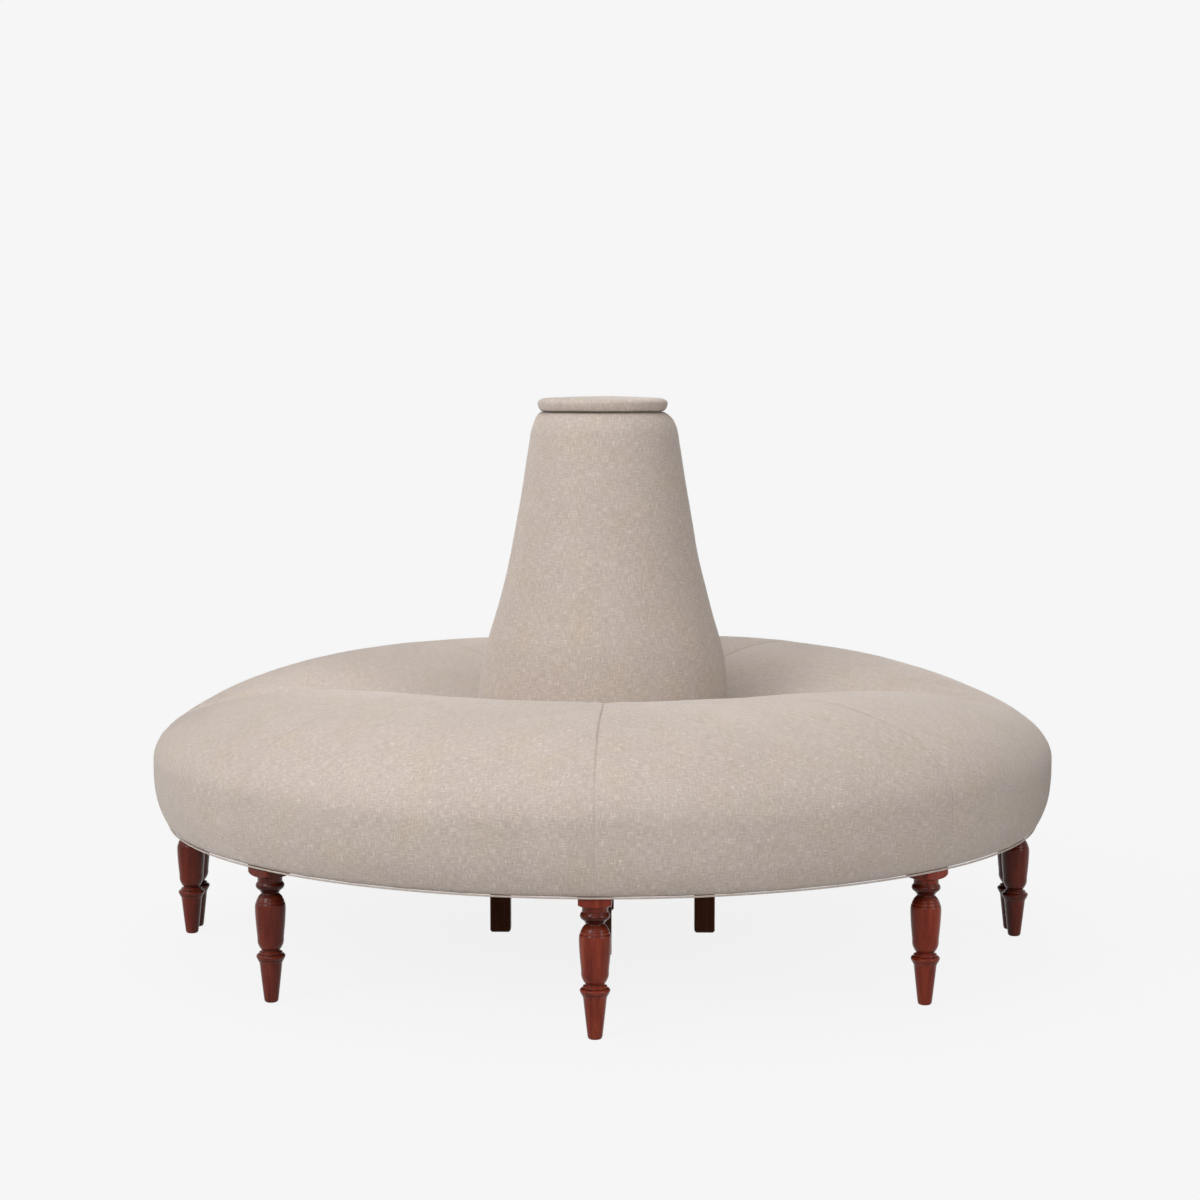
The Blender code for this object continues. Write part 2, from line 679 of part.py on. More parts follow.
def welt_curve():
    """The welt round the lower edge of the cover, from one end of a half to the other."""
    radius = HEM_RADIUS - WELT_RADIUS
    end = RIGHT_ANGLE - asin(HALF_SETBACK / radius)
    curve = bpy.data.curves.new("hem_welt", "CURVE")
    curve.dimensions = "3D"
    curve.bevel_depth = WELT_RADIUS
    curve.bevel_resolution = 1
    curve.use_fill_caps = True
    spline = curve.splines.new("POLY")
    spline.points.add(WELT_STEPS)
    for point, (x, y) in zip(spline.points, arc(radius, -end, end, WELT_STEPS)):
        point.co = (x, y, HEM_HEIGHT + WELT_RADIUS, 1)
    return curve


# Column

def blend(start, end, height):
    """Radius on a cubic between two points, each (height, radius, slope)."""
    length = end[0] - start[0]
    t = (height - start[0]) / length
    return (
        start[1] * (2 * t ** 3 - 3 * t ** 2 + 1)
        + start[2] * length * (t ** 3 - 2 * t ** 2 + t)
        + end[1] * (3 * t ** 2 - 2 * t ** 3)
        + end[2] * length * (t ** 3 - t ** 2)
    )


def column_radius(height):
    """Outer radius of the column: straight at its foot, flared above it, rounded at the top."""
    foot = (COLUMN_FOOT_HEIGHT, COLUMN_BASE_RADIUS, 0)
    flare = (FLARE_HEIGHT, FLARE_RADIUS, FLARE_SLOPE)
    shoulder = (SHOULDER_HEIGHT, SHOULDER_RADIUS, SHOULDER_SLOPE)
    if height <= COLUMN_FOOT_HEIGHT:
        return COLUMN_BASE_RADIUS
    if height <= SHOULDER_HEIGHT:
        return blend(foot, flare, height) if height <= FLARE_HEIGHT else blend(flare, shoulder, height)
    share = min((height - SHOULDER_HEIGHT) / (COLUMN_HEIGHT - SHOULDER_HEIGHT), 1)
    return COLUMN_RIM_RADIUS + (SHOULDER_RADIUS - COLUMN_RIM_RADIUS) * sqrt(1 - share ** 2)


def column_core_radius(height):
    """Inner radius of the column's pad: its thickness in from the outside, clear of the top ring."""
    return max(column_radius(height) - COLUMN_PAD_THICKNESS, TOP_RING_RADIUS + GLUE_GAP)


def core_heights():
    """Heights of the corners of the pad's inside, which the ribs follow."""
    heights = [BOARD_TOP + GLUE_GAP, *spread(COLUMN_FOOT_HEIGHT, FLARE_HEIGHT, 2)]
    return heights + spread(FLARE_HEIGHT, TOP_RING_BOTTOM, 3)[1:]


def column_pad_profile():
    """Closed half section of the column's pad, down its outside and up its inside."""
    rounding = COLUMN_HEIGHT - SHOULDER_HEIGHT
    outer = [SHOULDER_HEIGHT + rounding * sin(RIGHT_ANGLE * i / 4) for i in (4, 3, 2, 1)]
    outer += reversed(spread(FLARE_HEIGHT, SHOULDER_HEIGHT, 5)[1:])
    outer += reversed(spread(COLUMN_FOOT_HEIGHT, FLARE_HEIGHT, 4))
    outer.append(BOARD_TOP + GLUE_GAP)
    profile = [(column_radius(height), height) for height in outer]
    return profile + [(column_core_radius(height), height) for height in (*core_heights(), COLUMN_HEIGHT)]


def rib_outer_radius(height):
    """How far out a rib's edge is, clear of the flat facets of the pad's inside."""
    radius = column_core_radius(height) * cos(pi / COLUMN_FACETS) - 2 * GLUE_GAP
    return sqrt(radius ** 2 - (RIB_THICKNESS / 2) ** 2)


def rib_outline():
    """Side view of a rib: shaped outer edge, straight inner edge, and a tab at its foot."""
    bottom, top = BOARD_TOP + GLUE_GAP, TOP_RING_BOTTOM - GLUE_GAP
    tab_end = RIB_TAB_START + RIB_TAB_WIDTH
    points = [(RIB_TAB_START, RAIL_BOTTOM), (tab_end, RAIL_BOTTOM), (tab_end, bottom)]
    points += [(rib_outer_radius(height), min(height, top)) for height in core_heights()]
    return points + [(RIB_TOP_RADIUS, top), (RIB_FOOT_RADIUS, bottom), (RIB_TAB_START, bottom)]


def rib_slot(azimuth):
    """Slot in the base board for a rib's tab."""
    side = RIB_THICKNESS / 2 + GLUE_GAP
    start, end = RIB_TAB_START - GLUE_GAP, RIB_TAB_START + RIB_TAB_WIDTH + GLUE_GAP
    corners = ((start, -side), (end, -side), (end, side), (start, side))
    return [at(azimuth, outward, along) for outward, along in corners]


def inner_leg_mesh():
    """A square leg with its spigot."""
    half = INNER_LEG_WIDTH / 2
    top = RAIL_BOTTOM - GLUE_GAP
    leg = box("inner_leg", (-half, -half, 0), (half, half, top))
    round_edges(leg, INNER_LEG_ROUNDING)
    profile = [(0, BOARD_TOP), (SPIGOT_RADIUS, BOARD_TOP), (SPIGOT_RADIUS, top - half), (0, top - half)]
    combine(leg, turned("spigot", profile, SPIGOT_FACETS), "UNION")
    return finished_mesh(leg, "inner_leg")


# Cap

def cap_pad_profile():
    """Half section of the cap's pad: flat top, rounded edge, and a well for the board."""
    top = CAP_BOTTOM + CAP_THICKNESS
    widest = CAP_BOTTOM + CAP_WIDEST_HEIGHT
    well = CAP_BOARD_RADIUS + GLUE_GAP
    profile = [(0, top)]
    for i in range(CAP_STEPS + 1):
        turn = RIGHT_ANGLE * i / CAP_STEPS
        radius = CAP_FLAT_RADIUS + (CAP_RADIUS - CAP_FLAT_RADIUS) * sin(turn)
        profile.append((radius, widest + (top - widest) * cos(turn)))
    for i in range(1, CAP_STEPS + 1):
        turn = RIGHT_ANGLE * i / CAP_STEPS
        radius = CAP_BOTTOM_RADIUS + (CAP_RADIUS - CAP_BOTTOM_RADIUS) * cos(turn)
        profile.append((radius, widest - (widest - CAP_BOTTOM) * sin(turn)))
    roof = CAP_BOTTOM + CAP_BOARD_THICKNESS + GLUE_GAP
    return profile + [(well, CAP_BOTTOM), (well, roof), (0, roof)]


# Bolts

def bolt_profile():
    """Half section of a connector bolt with its cap nut, through both joint rails."""
    reach = HALF_SETBACK + CROSS_RAIL_THICKNESS + GLUE_GAP
    head = reach + BOLT_HEAD_THICKNESS
    return [
        (0, head), (BOLT_HEAD_RADIUS - BOLT_HEAD_THICKNESS / 2, head), (BOLT_HEAD_RADIUS, reach),
        (BOLT_RADIUS, reach), (BOLT_RADIUS, -reach), (BOLT_HEAD_RADIUS, -reach),
        (BOLT_HEAD_RADIUS - BOLT_HEAD_THICKNESS / 2, -head), (0, -head),
    ]


# Assembly

def new_empty(name, rotation=0.0):
    empty = bpy.data.objects.new(name, None)
    SOFA.objects.link(empty)
    empty.rotation_euler = (0, 0, rotation)
    return empty


def leg_meshes():
    return {
        side: leg_mesh("leg_" + side, along, reach, sides)
        for side, azimuth, along, reach, sides in LEGS if side in ("left_end", "middle", "right_end")
    }


def build_half(half, rotation, legs, joint_rails):
    """All pieces of one half, under an empty that turns them to their place."""
    root = new_empty(half + "_half", rotation)

    def named(piece, side):
        word, _, end = side.partition("_")
        word = MIRRORED_SIDE[word] if rotation else word
        return "_".join(filter(None, (half, word, end, piece)))

    for side, azimuth, along, reach, _ in LEGS:
        mesh = legs[side if side in legs else "middle"]
        place(mesh, named("leg", side), MAHOGANY, root, (*at(azimuth, reach, along), 0), (0, 0, azimuth))
    for side, first, second in zip(OUTER_RAILS, LEGS, LEGS[1:]):
        outline = outer_rail_outline(first, second)
        slab(named("outer_rail", side), BEECH, [outline], RAIL_BOTTOM, RAIL_TOP, root)
    for side, azimuth, *_ in LEGS[1:-1]:
        outline = cross_rail_outline(azimuth, 0, LEG_RING_RADIUS)
        slab(named("cross_rail", side), BEECH, [outline], RAIL_BOTTOM, RAIL_TOP, root)
    for side, mesh in joint_rails.items():
        place(mesh, named("joint_rail", side), BEECH, root)
    slab(half + "_inner_rail", BEECH, [inner_rail_outline()], BOARD_TOP + GLUE_GAP, RAIL_TOP, root)
    slab(half + "_webbing", JUTE, webbing_outlines(), WEBBING_BOTTOM, WEBBING_TOP, root)
    slab(half + "_base_foam", FOAM, [base_foam_outline()], DECK_HEIGHT, BASE_FOAM_TOP, root)
    place(seat_pad_mesh(), half + "_seat_pad", LINEN, root)
    place(welt_curve(), half + "_hem_welt", LINEN, root)
    top = RAIL_BOTTOM - GLUE_GAP
    bottom = top - DUST_COVER_THICKNESS
    slab(half + "_dust_cover", BLACK_CLOTH, [dust_cover_outline()], bottom, top, root)


def build_column():
    root = new_empty("column")
    azimuths = [RIB_AZIMUTH + 2 * pi * i / RIB_COUNT for i in range(RIB_COUNT)]
    leg_azimuths = {"front": 0, "right": RIGHT_ANGLE, "back": HALF_TURN, "left": -RIGHT_ANGLE}
    outlines = [circle(BASE_BOARD_RADIUS, COLUMN_FACETS)]
    outlines += [rib_slot(azimuth) for azimuth in azimuths]
    for azimuth in leg_azimuths.values():
        outlines.append(circle(SPIGOT_RADIUS + GLUE_GAP, SPIGOT_FACETS, at(azimuth, INNER_LEG_RADIUS)))
    slab("column_base_board", PLYWOOD, outlines, RAIL_BOTTOM, BOARD_TOP, root)
    mesh = inner_leg_mesh()
    for side, azimuth in leg_azimuths.items():
        foot = (*at(azimuth, INNER_LEG_RADIUS), 0)
        place(mesh, "column_" + side + "_leg", DARK_WOOD, root, foot, (0, 0, azimuth))
    for i, azimuth in enumerate(azimuths):
        curve = outline_curve("rib", [rib_outline()], RIB_THICKNESS)
        name = "column_rib_" + str(i + 1)
        place(curve, name, PLYWOOD, root, rotation=(RIGHT_ANGLE, 0, azimuth - RIGHT_ANGLE))
    ring = [circle(TOP_RING_RADIUS, COLUMN_FACETS), circle(TOP_RING_HOLE_RADIUS, COLUMN_FACETS)]
    slab("column_top_ring", PLYWOOD, ring, TOP_RING_BOTTOM, TOP_RING_TOP, root)
    pad = turned("column_pad", column_pad_profile(), COLUMN_FACETS, closed=True)
    place(finished_mesh(pad, "column_pad"), "column_pad", LINEN, root)


def build_cap():
    """The cap, which lifts straight off along the sofa's own axis."""
    root = new_empty("cap")
    board = [circle(CAP_BOARD_RADIUS, COLUMN_FACETS)]
    slab("cap_board", PLYWOOD, board, CAP_BOTTOM, CAP_BOTTOM + CAP_BOARD_THICKNESS, root)
    plug = [circle(TOP_RING_HOLE_RADIUS - PLUG_CLEARANCE, COLUMN_FACETS)]
    slab("cap_plug", PLYWOOD, plug, TOP_RING_TOP - PLUG_THICKNESS, TOP_RING_TOP, root)
    pad = turned("cap_pad", cap_pad_profile(), COLUMN_FACETS)
    place(finished_mesh(pad, "cap_pad"), "cap_pad", LINEN, root)


def build_bolts():
    root = new_empty("joint_bolts")
    mesh = finished_mesh(turned("joint_bolt", bolt_profile(), BOLT_FACETS), "joint_bolt")
    for side, azimuth in (("left", -RIGHT_ANGLE), ("right", RIGHT_ANGLE)):
        for label, distance in BOLT_DISTANCES.items():
            name = "joint_bolt_" + side + "_" + label
            place(mesh, name, STEEL, root, (*at(azimuth, distance), BOLT_HEIGHT), (RIGHT_ANGLE, 0, 0))


clear_scene()
SOFA = new_collection("round_sofa")
CUTTERS = new_collection("cutters")
LINEN = new_material("oatmeal_linen", (0.60, 0.51, 0.45), 0.95)
MAHOGANY = new_material("red_mahogany", (0.16, 0.036, 0.026), 0.25)
DARK_WOOD = new_material("dark_stained_wood", (0.018, 0.008, 0.005), 0.5)
BEECH = new_material("beech", (0.52, 0.34, 0.19), 0.6)
PLYWOOD = new_material("plywood", (0.56, 0.40, 0.24), 0.65)
FOAM = new_material("foam", (0.80, 0.74, 0.55), 0.95)
JUTE = new_material("jute_webbing", (0.42, 0.29, 0.16), 0.9)
BLACK_CLOTH = new_material("black_cloth", (0.012, 0.012, 0.013), 0.95)
STEEL = new_material("zinc_steel", (0.55, 0.56, 0.58), 0.35, 1.0)

LEG_MESHES = leg_meshes()
JOINT_RAIL_MESHES = {
    "left": joint_rail_mesh("joint_rail_left", -RIGHT_ANGLE, JOINT_RAIL_OFFSET),
    "right": joint_rail_mesh("joint_rail_right", RIGHT_ANGLE, -JOINT_RAIL_OFFSET),
}
build_half("front", 0, LEG_MESHES, JOINT_RAIL_MESHES)
build_half("back", HALF_TURN, LEG_MESHES, JOINT_RAIL_MESHES)
build_column()
build_cap()
build_bolts()
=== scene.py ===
"""Looks for a round conversation sofa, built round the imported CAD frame.

Metres, +Z up, the front at -Y. An azimuth runs from the front (-Y) towards +X. A cover is a grid of
points along the ring or round the column. Its UV map is in metres, so that the weave keeps its size.
"""

from math import atan, cos, pi, radians, sin

import bmesh
import bpy
import numpy as np
from mathutils import Matrix, Vector, noise


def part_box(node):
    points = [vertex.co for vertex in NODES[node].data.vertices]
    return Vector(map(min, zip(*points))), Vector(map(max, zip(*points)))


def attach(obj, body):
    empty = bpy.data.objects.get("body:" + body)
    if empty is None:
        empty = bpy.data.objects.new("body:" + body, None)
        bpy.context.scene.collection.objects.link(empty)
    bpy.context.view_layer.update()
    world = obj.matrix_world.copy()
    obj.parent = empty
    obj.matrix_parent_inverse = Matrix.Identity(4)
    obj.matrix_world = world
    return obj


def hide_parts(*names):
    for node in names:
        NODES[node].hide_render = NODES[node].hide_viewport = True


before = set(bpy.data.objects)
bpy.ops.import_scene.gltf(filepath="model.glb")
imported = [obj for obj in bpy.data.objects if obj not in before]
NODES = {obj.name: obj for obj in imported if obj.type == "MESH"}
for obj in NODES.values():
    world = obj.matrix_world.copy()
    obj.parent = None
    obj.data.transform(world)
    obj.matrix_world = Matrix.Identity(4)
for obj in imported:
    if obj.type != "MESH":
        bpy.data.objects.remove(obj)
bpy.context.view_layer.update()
HALVES = {"front": 0.0, "back": pi}
RIGHT_ANGLE = pi / 2
PANEL = pi / 4
HAIR = 0.0003
SAME_POINT = 0.000002
CAD_SAME_POINT = 0.00002

# Camera, as the photograph's
IMAGE_SIZE = 1200
FOCAL_PIXELS = 2524
SENSOR_WIDTH = 36
CAMERA_AZIMUTH = radians(0.86)
CAMERA_DISTANCE = 4.296
CAMERA_HEIGHT = 0.968
CAMERA_PITCH = radians(5.24)
CAMERA_SHIFT_PIXELS = 2.6

# Section of the seat, as the CAD's
SEAT_RADIUS = 0.759
SEAT_HEIGHT = 0.459
CREST_RADIUS = 0.518
BULGE_HEIGHT = 0.3235
HEM_RADIUS = 0.7371
TROUGH_HEIGHT = 0.386
SEAT_WALL_RADIUS = 0.2146
CROWN_POWER = 1.18
TUCK_POWER = 3.3
TROUGH_POWER = 1.14
END_DROP = 0.0755
END_DROP_LENGTH = 0.578
END_DROP_POWER = 3.75
END_DROP_SIDE_POWER = 2.6
END_ROUNDING = 0.012
JOINT_SETBACK = 0.0006
SKIRT_THICKNESS = 0.0035
BASE_FOAM_INSET = 0.0420
FOAM_POCKET_CLEARANCE = 0.0009
FOAM_ROUNDING = 0.006
FOAM_STATIONS = 120
CORNER_POINTS = 5
FOAM_UNEVENNESS = 0.0004
MEAN_RADIUS = 0.6

# Grid of the seat cover: points up its section, and azimuths beside a seam and at an end
TUCK_POINTS = 60
CURVE_POINTS = 160
SEAT_STEP = 0.006
BESIDE_SEAM = (0.0, 0.0008, 0.0018, 0.0030, 0.0046, 0.0068, 0.0096, 0.0132, 0.0180, 0.0240)
BESIDE_END = (0.0, 0.00025, 0.0007, 0.0014, 0.0024, 0.0038, 0.0056, 0.0080, 0.0110, 0.0150, 0.0200)
BETWEEN_SEAMS = 66

# Sewing of the seat
SEAMS = (-PANEL, 0.0, PANEL)
SEAM_SHOW = {"front": (0.35, 0.75, 0.85), "back": (1.0, 0.6, 0.5)}
SEAM_LEAN = radians(8.5)
MIDDLE_SEAM_SWAY = radians(1.0)
SEAM_LEAN_RADII = (0.729, 0.439)
SEAM_DEPTH = 0.0012
SEAM_WIDTH = 0.0011
SEAM_WANDER = 0.0009
SEAM_WANDER_REACH = 0.03
SEAM_WANDER_SCALE = 22
SEAM_VALLEY_DEPTH = 0.0005
SEAM_VALLEY_WIDTH = 0.016
# Painted shade in the seams, wider and stronger from the crest inwards
SEAM_SHADE_WIDTH = 0.0006
SEAM_SIDE_SHADE = 0.11
SEAM_TOP_SHADE = 0.17
SEAM_TOP_WIDENING = 2.2
SEAM_TOP_DEEPENING = 0.9
SEAM_UNEVENNESS = 0.3
SEAM_UNEVENNESS_SCALE = 45
SEAM_TOP_RADII = (0.745, 0.640)
# Painted shade in the hollow beside the column, where the crown keeps light from the cloth
HOLLOW_SHADE = 0.30
HOLLOW_SHADE_START = 0.470
PUCKER_DEPTH = 0.0005
PUCKER_REACH = 0.012
PUCKER_SCALE = 75
PUCKER_NARROWING = 9
HEM_CREASE_DEPTH = 0.0014
HEM_CREASE_WIDTH = 0.0035
SEAT_FADES = (0.05, 0.06)
FOLD_START = (0.520, radians(-28.0))
FOLD_END = (0.610, radians(-32.2))
FOLD_DEPTH = 0.0040
FOLD_WIDTH = 0.012
FOLD_SWELL_PLACE = 1.7
FOLD_SWELL = 0.5
SWELL = 0.0034
SWELL_AZIMUTH = radians(-33)
DIP_AZIMUTH = radians(-70)
SWELL_WIDTH = radians(13)
SWELL_HEIGHTS = (0.30, 0.44)
PANEL_WEAVE_SHIFT = (0.70, 0.37)
PIPING_STATIONS = 460
PIPING_SIDES = 12
PIPING_END_GAP = 0.002
PIPING_WAVE = 0.0002

# Waves of the cloth: how high, how many to a metre, and the seed of each
SEAT_WAVES = ((0.0011, 9, 3), (0.0004, 24, 8))
COLUMN_WAVES = ((0.0010, 10, 21), (0.0004, 26, 22))
CAP_WAVES = ((0.0005, 26, 33), (0.0003, 60, 35))

# Cloth simulation
CLOTH_STEP = 0.010
CLOTH_FRAMES = 20
CLOTH = {
    "quality": 6, "vertex_group_mass": "pinned", "use_pressure": True, "tension_stiffness": 60,
    "compression_stiffness": 60, "bending_stiffness": 8,
}
SEAT_CLOTH_CAP = 0.0014
SEAT_PRESSURE = 1.0
SEAT_SLACK = 0.0015
COLUMN_CLOTH_CAP = 0.0010
COLUMN_PRESSURE = 0.8
COLUMN_SLACK = 0.001
COLUMN_CLOTH_SIDES = 110

# Column and cap, as the CAD's: a place on the column is its height, radius and slope
COLUMN_HEIGHT = 0.8945
COLUMN_FOOT = (0.386, 0.214, 0)
COLUMN_FLARE = (0.527, 0.1925, -0.31)
COLUMN_SHOULDER = (0.866, 0.1235, -0.15)
COLUMN_ROUNDING_START = 0.852
COLUMN_ROUNDING_POWER = 1.5
COLUMN_ROUNDING_POINTS = 24
COLUMN_RIM_RADIUS = 0.1048
COLUMN_CORE_RADIUS = 0.1004
COLUMN_PAD_THICKNESS = 0.0185
COLUMN_STEP = 0.005
COLUMN_SIDES = 300
COLUMN_INNER_POINTS = 40
COLUMN_FADES = (0.03, 0.02)
# Painted shade at the column's top, in the gap under the cap
COLUMN_TOP_SHADE = 0.9
COLUMN_TOP_SHADE_DROP = 0.0030
GATHER_DEPTH = 0.0010
GATHER_RING = 9.0
COLUMN_LEAN = 0.0027
LEAN_RISES = (0.015, 0.10)
LEAN_FADE = 0.018
CAP_RADIUS = 0.1103
CAP_BOTTOM_RADIUS = 0.101
CAP_FLAT_RADIUS = 0.092
CAP_WIDEST_RISE = 0.0147
CAP_BOARD_REACH = 0.0943
CAP_BOARD_THICKNESS = 0.0123
CAP_DOME = 0.0026
CAP_RISE = 0.0010
CAP_STEP = 0.0018
CAP_SIDES = 240
CAP_SECTION_POINTS = (12, 14, 16)
CAP_PUCKER_DEPTH = 0.0016
CAP_PUCKER_RISES = (0.001, 0.004)
# Painted shade under the cap's lower edge: full below the first rise, gone above the second
CAP_SHADE_RISES = (0.0005, 0.0030)

# Webbing, dust cover and its staples
INNER_RAIL_OUTER = 0.2435
OUTER_RAIL_INNER = 0.7088
STRAP_WIDTH = 0.050
STRAP_BAYS = 8
STRAP_ROWS = 3
STRAP_POINTS = 60
STRAP_ACROSS_POINTS = 5
ROW_POINTS = 160
STRAP_THICKNESS = 0.0008
STRAP_WEAVE = 0.00045
STRAP_SETBACK = 0.001
STRAP_INNER_SETBACK = 0.008
COVER_GRID = 0.035
COVER_SAG = 0.004
COVER_WAVE = 0.0003
COVER_THICKNESS_SHARE = 0.5
COVER_HOLE_RADIUS = 0.240
STAPLE_WIDTH = 0.010
STAPLE_BEND = 0.0006
STAPLE_LEVELS = (0.0012, 0.0002, -0.0001)
STAPLE_WIRE = 0.0005
STAPLE_SPACING = 0.045
STAPLE_INNER_RADIUS = 0.247
STAPLE_SETBACK = 0.006
STAPLE_TURN = 0.02
STAPLE_SIDES = 6
LEG_CLEARANCE = 0.045

# Turned legs: the azimuth of each, and how much lighter and redder its colour is made than the darkest leg's
LEGS = (
    ("left_end", 0, 0.1), ("left", -PANEL, 0.0), ("middle", 0, 0.5), ("right", PANEL, 0.8),
    ("right_end", 0, 0.0),
)
LEG_SIDES = 64
BLOCK_HALF = 0.0245
BLOCK_CORNER = 0.0335
BLOCK_CUT = 0.2142
LEG_TOP = 0.2150
SHOULDER_LOW = 0.1966
SHOULDER_RISE = 0.0104
SHOULDER_RADIUS = 0.0205
SHOULDER_REACH = 0.0145
SHOULDER_TURNS = (0.12, 1, 12)
BEAD_POWER = 0.8
FOOT_HEIGHT = 0.02
# The turned grooves, stained darker and with painted shade: the height of each and how dark
GROOVES = {
    0.0673: 0.6, 0.0762: 0.6, 0.0815: 0.9, 0.1550: 0.45,
    0.1598: 0.35, 0.1701: 1.0, 0.1884: 0.7, 0.1960: 0.5,
}
GROOVE_SHADE_WIDTH = 0.0009
# Painted shade at the neck, under the seat
NECK = 0.176
NECK_REACH = 0.014
NECK_SHADE = 0.78

# Materials of the CAD nodes that stay, and sizes in the materials
CAD_MATERIALS = {
    "_outer_rail": "beech_curved", "_inner_rail": "beech_curved", "_cross_rail": "beech",
    "_joint_rail": "beech", "column_rib": "plywood_rib", "column_base_board": "plywood",
    "column_top_ring": "plywood", "cap_board": "plywood", "cap_plug": "plywood", "joint_bolt": "steel",
}
THREAD_PITCH = 0.00115
THREAD_DRIFT = 0.004
JUTE_PITCH = 0.0022
JUTE_STRIPE = 0.019
JUTE_STRIPE_WIDTH = 0.002
PLY = 0.003
RIB_BAY = radians(60)

# Floor and light: each lamp's place, size and power
BACKDROP = (0.9216, 0.9216, 0.9216, 1)
FLOOR_SIZE = 30
FLOOR_LIT = (0.95, 0.95, 0.95, 1)
FLOOR_BOUNCE = (0.60, 0.60, 0.60, 1)
SHADOW_SHARE = 0.07
SHADOW_REACH = 1.6
WORLD_STRENGTH = 0.05
LAMP_TARGET = Vector((0, 0, 0.4))
LAMPS = {
    "key": ((-2.9, -3.4, 3.3), (2.0, 2.0), 112),
    "front": ((-0.6, -4.6, 2.2), (2.0, 2.0), 37),
    "top": ((-0.6, 0.2, 4.2), (3.0, 3.0), 83),
    "left": ((-4.0, -0.8, 2.2), (2.0, 2.0), 22),
    "right": ((3.4, -2.6, 1.8), (1.6, 2.0), 54),
    "back": ((0.0, 4.4, 2.8), (5.0, 2.0), 60),
}


def smoothstep(low, high, value):
    share = np.clip((np.asarray(value, float) - low) / (high - low), 0, 1)
    return share * share * (3 - 2 * share)


def bell(value, width):
    return np.exp(-(value / width) ** 2)


def stacked(*arrays):
    return np.stack(np.broadcast_arrays(*arrays), -1)


def around(radius, azimuth, height):
    return stacked(radius * np.sin(azimuth), -radius * np.cos(azimuth), height)


def linked(name, data):
    item = bpy.data.objects.new(name, data)
    bpy.context.scene.collection.objects.link(item)
    return item


# Camera

def make_camera():
    data = bpy.data.cameras.new("camera")
    data.sensor_width = SENSOR_WIDTH
    data.lens = FOCAL_PIXELS * SENSOR_WIDTH / IMAGE_SIZE
    item = linked("camera", data)
    item.location = around(CAMERA_DISTANCE, CAMERA_AZIMUTH, CAMERA_HEIGHT)
    turn = CAMERA_AZIMUTH + atan(CAMERA_SHIFT_PIXELS / FOCAL_PIXELS)
    item.rotation_euler = (RIGHT_ANGLE - CAMERA_PITCH, 0, turn)
    bpy.context.scene.camera = item


# Materials

class Nodes:
    """Short calls for building a node tree."""

    def __init__(self, tree):
        self.tree = tree

    def add(self, kind, inputs=(), **settings):
        node = self.tree.nodes.new("ShaderNode" + kind)
        for key, value in settings.items():
            setattr(node, key, value)
        for key, value in dict(inputs).items():
            self.put(node.inputs[key], value)
        return node

    def put(self, socket, value):
        if isinstance(value, bpy.types.Node):
            value = value.outputs[0]
        if isinstance(value, bpy.types.NodeSocket):
            self.tree.links.new(value, socket)
        else:
            socket.default_value = value

    def place(self):
        return self.add("TexCoord").outputs["Object"]

    def cloth(self):
        return self.add("UVMap", uv_map="cloth").outputs["UV"]

    def attribute(self, name):
        return self.add("Attribute", attribute_name=name, attribute_type="GEOMETRY").outputs["Fac"]

    def math(self, operation, first, second=0.0, clamp=False):
        return self.add("Math", {0: first, 1: second}, operation=operation, use_clamp=clamp)

    def total(self, first, *others):
        for other in others:
            first = self.math("ADD", first, other)
        return first

    def minus(self, first, second):
        return self.math("SUBTRACT", first, second)

    def times(self, first, second):
        return self.math("MULTIPLY", first, second)

    def around_zero(self, value, size):
        """A texture from 0 to 1, moved to swing about zero and scaled."""
        return self.times(self.minus(value, 0.5), size)

    def noise(self, vector, scale, detail=2.0, roughness=0.5, location=(0, 0, 0), distortion=0.0):
        place = self.add("Mapping", {"Vector": vector, "Scale": scale, "Location": location})
        inputs = {"Vector": place, "Scale": 1.0, "Detail": detail, "Roughness": roughness}
        return self.add("TexNoise", {**inputs, "Distortion": distortion})

    def slubs(self, vector, scale, location):
        """Uneven threads: mostly level, with short thick places that stand out lighter."""
        thread = self.noise(vector, scale, 2.0, 0.6, location=location)
        thick = self.times(self.math("MAXIMUM", self.minus(thread, 0.56), 0.0), 2.2)
        return self.total(thread, thick)

    def ramp(self, value, stops):
        node = self.add("ValToRGB", {"Fac": value})
        elements = node.color_ramp.elements
        while len(elements) < len(stops):
            elements.new(1.0)
        for element, (position, color) in zip(elements, stops):
            element.position = position
            element.color = (*color, 1)
        return node.outputs["Color"]

    def mix(self, share, first, second, blend="MIX"):
        node = self.add("Mix", data_type="RGBA", blend_type=blend)
        values = {0: share, 6: first, 7: second}
        for key, value in values.items():
            self.put(node.inputs[key], (*value, 1) if isinstance(value, tuple) else value)
        return node.outputs[2]

    def split(self, vector):
        return self.add("SeparateXYZ", {"Vector": vector}).outputs

    def polar(self, part):
        """Radius and angle about the sofa's axis."""
        x, y = part["X"], part["Y"]
        ring = self.math("SQRT", self.total(self.times(x, x), self.times(y, y)))
        return ring, self.math("ARCTAN2", x, y)

    def ridges(self, value, pitch):
        """Rounded threads side by side, from 0 between two to 1 on top of one."""
        return self.math("ABSOLUTE", self.math("SINE", self.times(value, pi / pitch)))

    def bump(self, height, distance, strength):
        return self.add("Bump", {"Height": height, "Distance": distance, "Strength": strength})

    def backdrop_share(self):
        """1 for what the camera sees, straight or in a gloss, and 0 for what only gives light."""
        path = self.add("LightPath").outputs
        seen = self.math("MAXIMUM", path["Is Camera Ray"], path["Is Glossy Ray"])
        return self.math("MAXIMUM", seen, path["Is Transmission Ray"])


